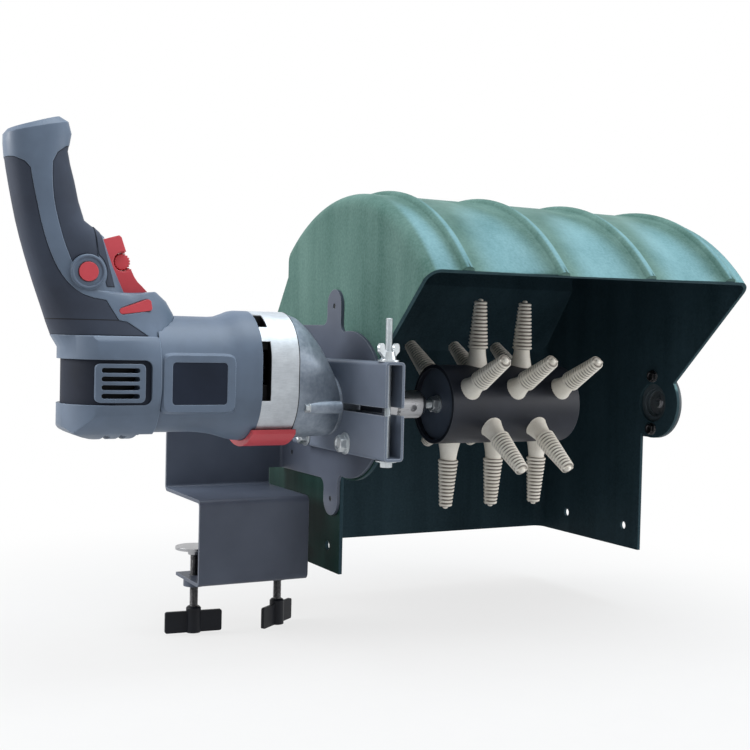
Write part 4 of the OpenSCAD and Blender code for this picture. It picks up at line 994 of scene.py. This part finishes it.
def rod_sizes(name, lay):
    """A rod that fills the node's box, upright or along X."""
    low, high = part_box(name)
    core = (low + high) / 2
    start = Vector((low.x, core.y, core.z)) if lay else Vector((core.x, core.y, low.z))
    length = high.x - low.x if lay else high.z - low.z
    sizes = {"X": start.x, "Y": start.y, "Z": start.z, "Lay": QUARTER_TURN if lay else 0.0}
    return {**ROD_SIZES, **sizes, "Length": length, "Radius": (high.y - low.y) / 2}


for name, lay in (("screw_left", False), ("screw_right", False), ("drum_shaft", True)):
    grow(name, rod_shape(finish_of(name)), rod_sizes(name, lay))

# %% [markdown]
# ## Bolts and nuts
# A hexagon head is a tube too: its radius swings out six times a turn, and near the top
# a cone cuts the corners off, which leaves the arcs that every real head shows. A flange
# or washer below and a dished top finish it. A bolt has a threaded shank under its head.

# %% Hexagon heads
HEX_SIDES = 48
HEX_RINGS = 11
SIXTH_TURN = math.pi / 3
FLANGE_EDGE = 0.6
CONE_HEIGHT = 0.052
CONE_FOOT = 1.01
CONE_SHARES = (0.75, 0.5, 0.25, 0.0)
CONE_TOP = 0.98
DISH_RADII = (0.7, 0.62, 0.56)
SHANK_IN_HEAD = 0.5 * MM
HEAD_SIZES = {
    "Count": 2, "X": 0.0, "Y": 0.0, "Z": 0.0, "Step X": 0.0, "Step Y": 0.0, "Step Z": 0.0, "Lay": 0.0,
    "Across flats": 13 * MM, "Head": 6 * MM, "Flange radius": 0.0, "Flange": 1 * MM,
    "Dish": 0.6 * MM, "Bore": 0.3 * MM,
}
SHANK_SIZES = {"Length": 30 * MM, "Radius": 3 * MM, "Pitch": 1 * MM, "Depth": 0.5 * MM}


def hexagon(shape):
    size = shape.size
    flat = size("Across flats") * 0.5
    top = size("Flange") + size("Head")
    cone = size("Across flats") * CONE_HEIGHT
    mesh, x, y, ring = shape.tube(HEX_SIDES, HEX_RINGS)
    sector = shape.math("FRACT", shape.math("ARCTAN2", y, x) / SIXTH_TURN) - 0.5
    corner = flat / shape.math("COSINE", sector * SIXTH_TURN)
    brim = shape.math("MAXIMUM", size("Flange radius"), flat * CONE_TOP)
    edge = shape.math("MAXIMUM", size("Flange radius"), corner)
    heights = [0.0, size("Flange") * FLANGE_EDGE, size("Flange"), top - cone * CONE_FOOT]
    radii = [brim, edge, corner, corner]
    for share in CONE_SHARES:
        heights.append(top - cone * share)
        radii.append(shape.math("MINIMUM", corner, flat * CONE_TOP + cone * (share * math.sqrt(3))))
    heights += [top, top - size("Dish") * 0.5, top - size("Dish"), top - size("Dish")]
    radii += [*(flat * share for share in DISH_RADII), size("Bore")]
    return shape.drawn(mesh, x, y, shape.pick(ring, radii), shape.pick(ring, heights))


def set_out(shape, geometry):
    """The geometry at each of the places in a straight row."""
    size = shape.size
    number = shape.node("GeometryNodeInputIndex")
    place = shape.xyz(*(size(axis) + number * size("Step " + axis) for axis in "XYZ"))
    points = shape.node("GeometryNodePoints", inputs={"Count": size("Count"), "Position": place})
    inputs = {"Points": points, "Instance": geometry, "Rotation": shape.turn(AXIS_Y, size("Lay"))}
    return shape.node("GeometryNodeInstanceOnPoints", inputs=inputs)


def nut_shape(material):
    shape = Shape("hexagon_nut", HEAD_SIZES)
    return shape.close(set_out(shape, hexagon(shape)), material)


def bolt_shape(material):
    shape = Shape("hexagon_bolt", {**HEAD_SIZES, **SHANK_SIZES})
    head = hexagon(shape)
    reach = shape.size("Length")
    rod = threaded_rod(shape, reach)
    drop = {"Geometry": rod, "Translation": shape.xyz(0.0, 0.0, reach * -1 + SHANK_IN_HEAD)}
    shank = shape.node("GeometryNodeTransform", inputs=drop)
    joined = shape.tree.nodes.new("GeometryNodeJoinGeometry")
    for part in (shank, head):
        shape.tree.links.new(part.output, joined.inputs["Geometry"])
    return shape.close(set_out(shape, Socket(shape, joined.outputs["Geometry"])), material)


# %% [markdown]
# Bolts of one kind stand in a straight row, so a row's first place, its step and the way
# the heads point are enough. Two flanged bolts hold the collar, two smaller ones the tail
# bearing, and one long bolt, head down, is the clamping stud. The nuts sit opposite.

# %% Bolts and nuts in their places
TO_LEFT, TO_RIGHT, DOWN = -QUARTER_TURN, QUARTER_TURN, 2 * QUARTER_TURN
M8 = {"Radius": 4 * MM, "Pitch": 1.25 * MM, "Depth": 0.6 * MM}
M6 = {"Radius": 3 * MM, "Pitch": 1.0 * MM, "Depth": 0.5 * MM}
COLLAR_STEP = (0, 83, 0)
TAIL_STEP = (0, 0, 55.4)


def row(count, first, step, lay):
    """Sizes that set out a row, from its first place and its step in millimetres."""
    places = {axis: value * MM for axis, value in zip("XYZ", first)}
    steps = {"Step " + axis: value * MM for axis, value in zip("XYZ", step)}
    return {"Count": count, "Lay": lay, **places, **steps}


def hexed(flats, head, flange_d, flange, dish, bore):
    """Sizes of a hexagon head, from millimetres."""
    words = ("Across flats", "Head", "Flange radius", "Flange", "Dish", "Bore")
    values = (flats, head, flange_d / 2, flange, dish, bore)
    return {word: value * MM for word, value in zip(words, values)}


BOLTS = {
    "collar_bolts": {
        **row(2, (50, -130, 60), COLLAR_STEP, TO_LEFT),
        **hexed(13.2, 6, 19.4, 1.8, 0.9, 0.4),
        **M8,
        "Length": 36 * MM,
    },
    "tail_bolts": {
        **row(2, (427.5, -97, 64.3), TAIL_STEP, TO_LEFT),
        **hexed(10, 4, 12.6, 1, 0.6, 0.4),
        **M6,
        "Length": 21 * MM,
    },
    "clamp_stud": {
        **row(1, (59, -189, 50.5), (0, 0, 0), DOWN),
        **hexed(9.9, 4, 18, 1.6, 0.5, 0.4),
        **M6,
        "Length": 120 * MM,
    },
}
NUTS = {
    "collar_nuts": {**row(2, (74.5, -130, 60), COLLAR_STEP, TO_RIGHT), **hexed(13.2, 6.5, 16.8, 1.5, 0.3, 4)},
    "tail_nuts": {**row(2, (440, -97, 64.3), TAIL_STEP, TO_RIGHT), **hexed(10, 4.4, 0, 0.6, 0.2, 3)},
    "drum_nuts": {**row(2, (161.9, -97, 92), (143.7, 0, 0), TO_LEFT), **hexed(12.96, 5.8, 0, 0.7, 0.3, 4)},
}
for name, sizes in BOLTS.items():
    grow(name, bolt_shape(finish_of(name)), sizes)
for name, sizes in NUTS.items():
    grow(name, nut_shape(finish_of(name)), sizes)

# %% [markdown]
# ## Trigger and speed wheel
# The trigger's cheeks are bitten away round the speed wheel, so that a thumb can reach its
# teeth. The CAD trigger only has the wheel's slot, so the trigger is made again from its
# side outline: one middle block and two cheeks, each the same outline with a round bite.

# %% Trigger
TRIGGER_AT = Vector((-149, -97, 208)) * MM
TRIGGER_TILT = math.radians(17.4)
TRIGGER_BACK = [(-9, -24.3), (-9, 22.5), (7.5, 22.5), (9, 20.5)]
TRIGGER_FRONT = [(9.2, -7.6), (10, -13), (11.6, -18), (14, -22), (17, -27.8)]
TRIGGER_LAYERS = [(-11, -6.6, 8.4), (-6.6, 6.6, 7.4), (6.6, 11, 8.4)]
TRIGGER_FACE = 9.3
WHEEL_AT = (5, 1)
BITE_STEPS = 24


def bitten_outline(radius):
    """The trigger's side outline with a round bite for the wheel, in millimetres."""
    out, up = WHEEL_AT
    half = math.acos((TRIGGER_FACE - out) / radius)
    turns = [half + (math.tau - 2 * half) * step / BITE_STEPS for step in range(BITE_STEPS + 1)]
    bite = [(out + radius * math.cos(turn), up + radius * math.sin(turn)) for turn in turns]
    return TRIGGER_BACK + bite + TRIGGER_FRONT


def prism(shell, outline, start, end, put):
    """A closed block with this outline between two distances across it."""
    rings = [[shell.verts.new(put(a, across, b)) for a, b in outline] for across in (start, end)]
    shell.faces.new(rings[0])
    shell.faces.new(rings[1][::-1])
    for number in range(len(outline)):
        after = (number + 1) % len(outline)
        shell.faces.new((rings[0][after], rings[0][number], rings[1][number], rings[1][after]))


def in_trigger(out, across, up):
    lean = Matrix.Rotation(-TRIGGER_TILT, 3, "Y")
    return TRIGGER_AT + lean @ (Vector((out, across, up)) * MM)


def make_trigger():
    shell = bmesh.new()
    for start, end, radius in TRIGGER_LAYERS:
        prism(shell, bitten_outline(radius), start, end, in_trigger)
    bmesh.ops.recalc_face_normals(shell, faces=shell.faces)
    crisp(shell)
    return stand_in(as_piece("trigger_made", shell, finish_of("trigger")), "trigger")


trigger = make_trigger()
print(trigger.name, len(trigger.data.polygons), "faces")

# %% [markdown]
# The speed wheel is a thumb wheel with coarse teeth, moulded in one piece. It is a tube
# whose radius drops eighteen times a turn, with its two rims sloped off.

# %% Speed wheel
WHEEL_SIDES = 108
WHEEL_RINGS = 3
TOOTH_FROM, TOOTH_TO = 0.3, 0.38
WHEEL_CENTRE = in_trigger(WHEEL_AT[0], 0, WHEEL_AT[1])
WHEEL_SIZES = {
    "X": WHEEL_CENTRE.x, "Y": WHEEL_CENTRE.y, "Z": WHEEL_CENTRE.z,
    "Teeth": 18, "Radius": 7 * MM, "Tooth": 0.9 * MM, "Width": 12.4 * MM, "Edge": 0.8 * MM,
}


def wheel_shape(material):
    shape = Shape("speed_wheel", WHEEL_SIZES)
    size = shape.size
    mesh, x, y, ring = shape.tube(WHEEL_SIDES, WHEEL_RINGS)
    phase = shape.math("FRACT", shape.math("ARCTAN2", y, x) / math.tau * size("Teeth"))
    gap = shape.remap(shape.math("ABSOLUTE", phase - 0.5), TOOTH_FROM, TOOTH_TO)
    rim = size("Radius") - size("Tooth") * gap
    half = size("Width") * 0.5
    radius = shape.pick(ring, [rim - size("Edge"), rim, rim, rim - size("Edge")])
    height = shape.pick(ring, [half * -1, size("Edge") - half, half - size("Edge"), half])
    wheel = shape.drawn(mesh, x, y, radius, height)
    return shape.close(shape.placed(wheel, AXIS_X, QUARTER_TURN), material)


grow("speed_wheel", wheel_shape(finish_of("speed_wheel")), WHEEL_SIZES)

# %% [markdown]
# ## Small things on the drill
# A raised rim guards the lock button against a careless thumb. It is moulded with the
# boss, and here it is a round bar bent to a ring and half sunk in the boss.

# %% Lock rim
LOCK_AT = Vector((-176, -119.2, 200.6)) * MM
RIM_STEPS, BAR_STEPS = 48, 12
RIM_SIZES = {"X": LOCK_AT.x, "Y": LOCK_AT.y, "Z": LOCK_AT.z, "Radius": 12.6 * MM, "Bar": 1.4 * MM}


def rim_shape(material):
    shape = Shape("lock_rim", RIM_SIZES)
    circle = "GeometryNodeCurvePrimitiveCircle"
    path = shape.node(circle, inputs={"Resolution": RIM_STEPS, "Radius": shape.size("Radius")})
    bar = shape.node(circle, inputs={"Resolution": BAR_STEPS, "Radius": shape.size("Bar")})
    ring = shape.node("GeometryNodeCurveToMesh", inputs={"Curve": path, "Profile Curve": bar})
    return shape.close(shape.placed(ring, AXIS_X, QUARTER_TURN), material)


rim = carried(plain("lock_rim", rim_shape(FINISH["drill_grey"]), RIM_SIZES), "frame")
print(rim.name, len(rim.data.polygons), "faces")

# %% [markdown]
# Beside the lock the soft front grip runs down in a narrow tongue, between the lock's boss
# and the trigger. It hugs the shell, so it is cut from a copy of the shell: planes cut the
# patch out, the boss's share goes, and what is left becomes a thin slab.

# %% Grip tongue
LOCK_BOSS = 16.4 * MM
TONGUE = [(6, 37), (11.5, 33), (22.5, -11.5), (15.6, -11.5), (9, 14)]
TONGUE_RISE, TONGUE_DEPTH = 0.4 * MM, 0.8 * MM
BOSS_CUTS = [math.radians(turn) for turn in range(-60, 80, 10)]
OUTWARD_Y = -0.3


def cut(shell, place, outward, clear):
    parts = [*shell.verts, *shell.edges, *shell.faces]
    bmesh.ops.bisect_plane(shell, geom=parts, plane_co=place, plane_no=outward, clear_outer=clear)


def on_tongue(face):
    apart = face.calc_center_median() - LOCK_AT
    return face.normal.y < OUTWARD_Y and math.hypot(apart.x, apart.z) > LOCK_BOSS


def slab(patch, rise, depth):
    """A closed slab from an open patch, standing out by the rise."""
    patch.normal_update()
    shell = bmesh.new()
    tops = {point: shell.verts.new(point.co + point.normal * rise) for point in patch.verts}
    feet = {point: shell.verts.new(point.co - point.normal * depth) for point in patch.verts}
    for face in patch.faces:
        shell.faces.new([tops[point] for point in face.verts])
        shell.faces.new([feet[point] for point in reversed(face.verts)])
    for edge in patch.edges:
        if edge.is_boundary:
            one, two = edge.verts
            shell.faces.new((tops[one], feet[one], feet[two], tops[two]))
    patch.free()
    bmesh.ops.recalc_face_normals(shell, faces=shell.faces)
    return shell


def make_tongue():
    patch = welded("handle_shell_near")
    corners = [LOCK_AT + Vector((x, 0, z)) * MM for x, z in TONGUE]
    for corner, after in zip(corners, corners[1:] + corners[:1]):
        along = after - corner
        cut(patch, corner, Vector((-along.z, 0, along.x)), True)
    for turn in BOSS_CUTS:
        outward = Vector((math.cos(turn), 0, math.sin(turn)))
        cut(patch, LOCK_AT + outward * LOCK_BOSS, outward, False)
    patch.normal_update()
    spare = [face for face in patch.faces if not on_tongue(face)]
    bmesh.ops.delete(patch, geom=spare, context="FACES")
    shell = slab(patch, TONGUE_RISE, TONGUE_DEPTH)
    crisp(shell)
    return carried(as_piece("grip_tongue", shell, FINISH["grip_rubber"]), "frame")


tongue = make_tongue()
print(tongue.name, len(tongue.data.polygons), "faces")

# %% [markdown]
# The slots of the two grilles look black. A black sheet behind each paints that, as
# painted shade: a sheet with round corners, made as a thin prism.

# %% Vent shade sheets
SHADE_SHEET_MIDDLE = Vector((-153.5, -97, 112.5)) * MM
SHADE_SHEET_HALF = (17.5, 15.5)
SHADE_SHEET_CORNER = 3
SHADE_SHEET_STEPS = 32
SHADE_SHEET_FROM, SHADE_SHEET_TO = 24.6, 25.8


def shade_sheet_outline():
    """A small circle whose four quarters are moved apart, in millimetres."""
    points = []
    for step in range(SHADE_SHEET_STEPS):
        angle = math.tau * (step + 0.5) / SHADE_SHEET_STEPS
        sides = zip(SHADE_SHEET_HALF, (math.cos(angle), math.sin(angle)))
        points.append([math.copysign(half - SHADE_SHEET_CORNER, wave) + SHADE_SHEET_CORNER * wave for half, wave in sides])
    return points


def in_vent(along, across, up):
    return SHADE_SHEET_MIDDLE + Vector((along, across, up)) * MM


def make_shade_sheets():
    shell = bmesh.new()
    for side in (-1, 1):
        prism(shell, shade_sheet_outline(), side * SHADE_SHEET_FROM, side * SHADE_SHEET_TO, in_vent)
    bmesh.ops.recalc_face_normals(shell, faces=shell.faces)
    crisp(shell)
    # A black sheet as painted shade behind the slots.
    return carried(as_piece("vent_shade_sheets", shell, FINISH["black_plastic"]), "frame")


shade_sheets = make_shade_sheets()
print(shade_sheets.name, len(shade_sheets.data.polygons), "faces")

# %% [markdown]
# Two small flanged screws sit at the ends of the nose's ribs, where the gear case is bolted
# together. Only their heads show, so the nut's tree makes them, with a bore nearly closed.

# %% Nose screws
NOSE_SCREWS = {**row(2, (11, -137.4, 92), (0, 80.8, 0), TO_LEFT), **hexed(6.6, 3, 8.4, 1.2, 0.8, 0.4)}
nose_screws = plain("nose_screws", nut_shape(FINISH["zinc_steel"]), NOSE_SCREWS)
carried(nose_screws, "frame")
print(nose_screws.name, len(nose_screws.data.polygons), "faces")
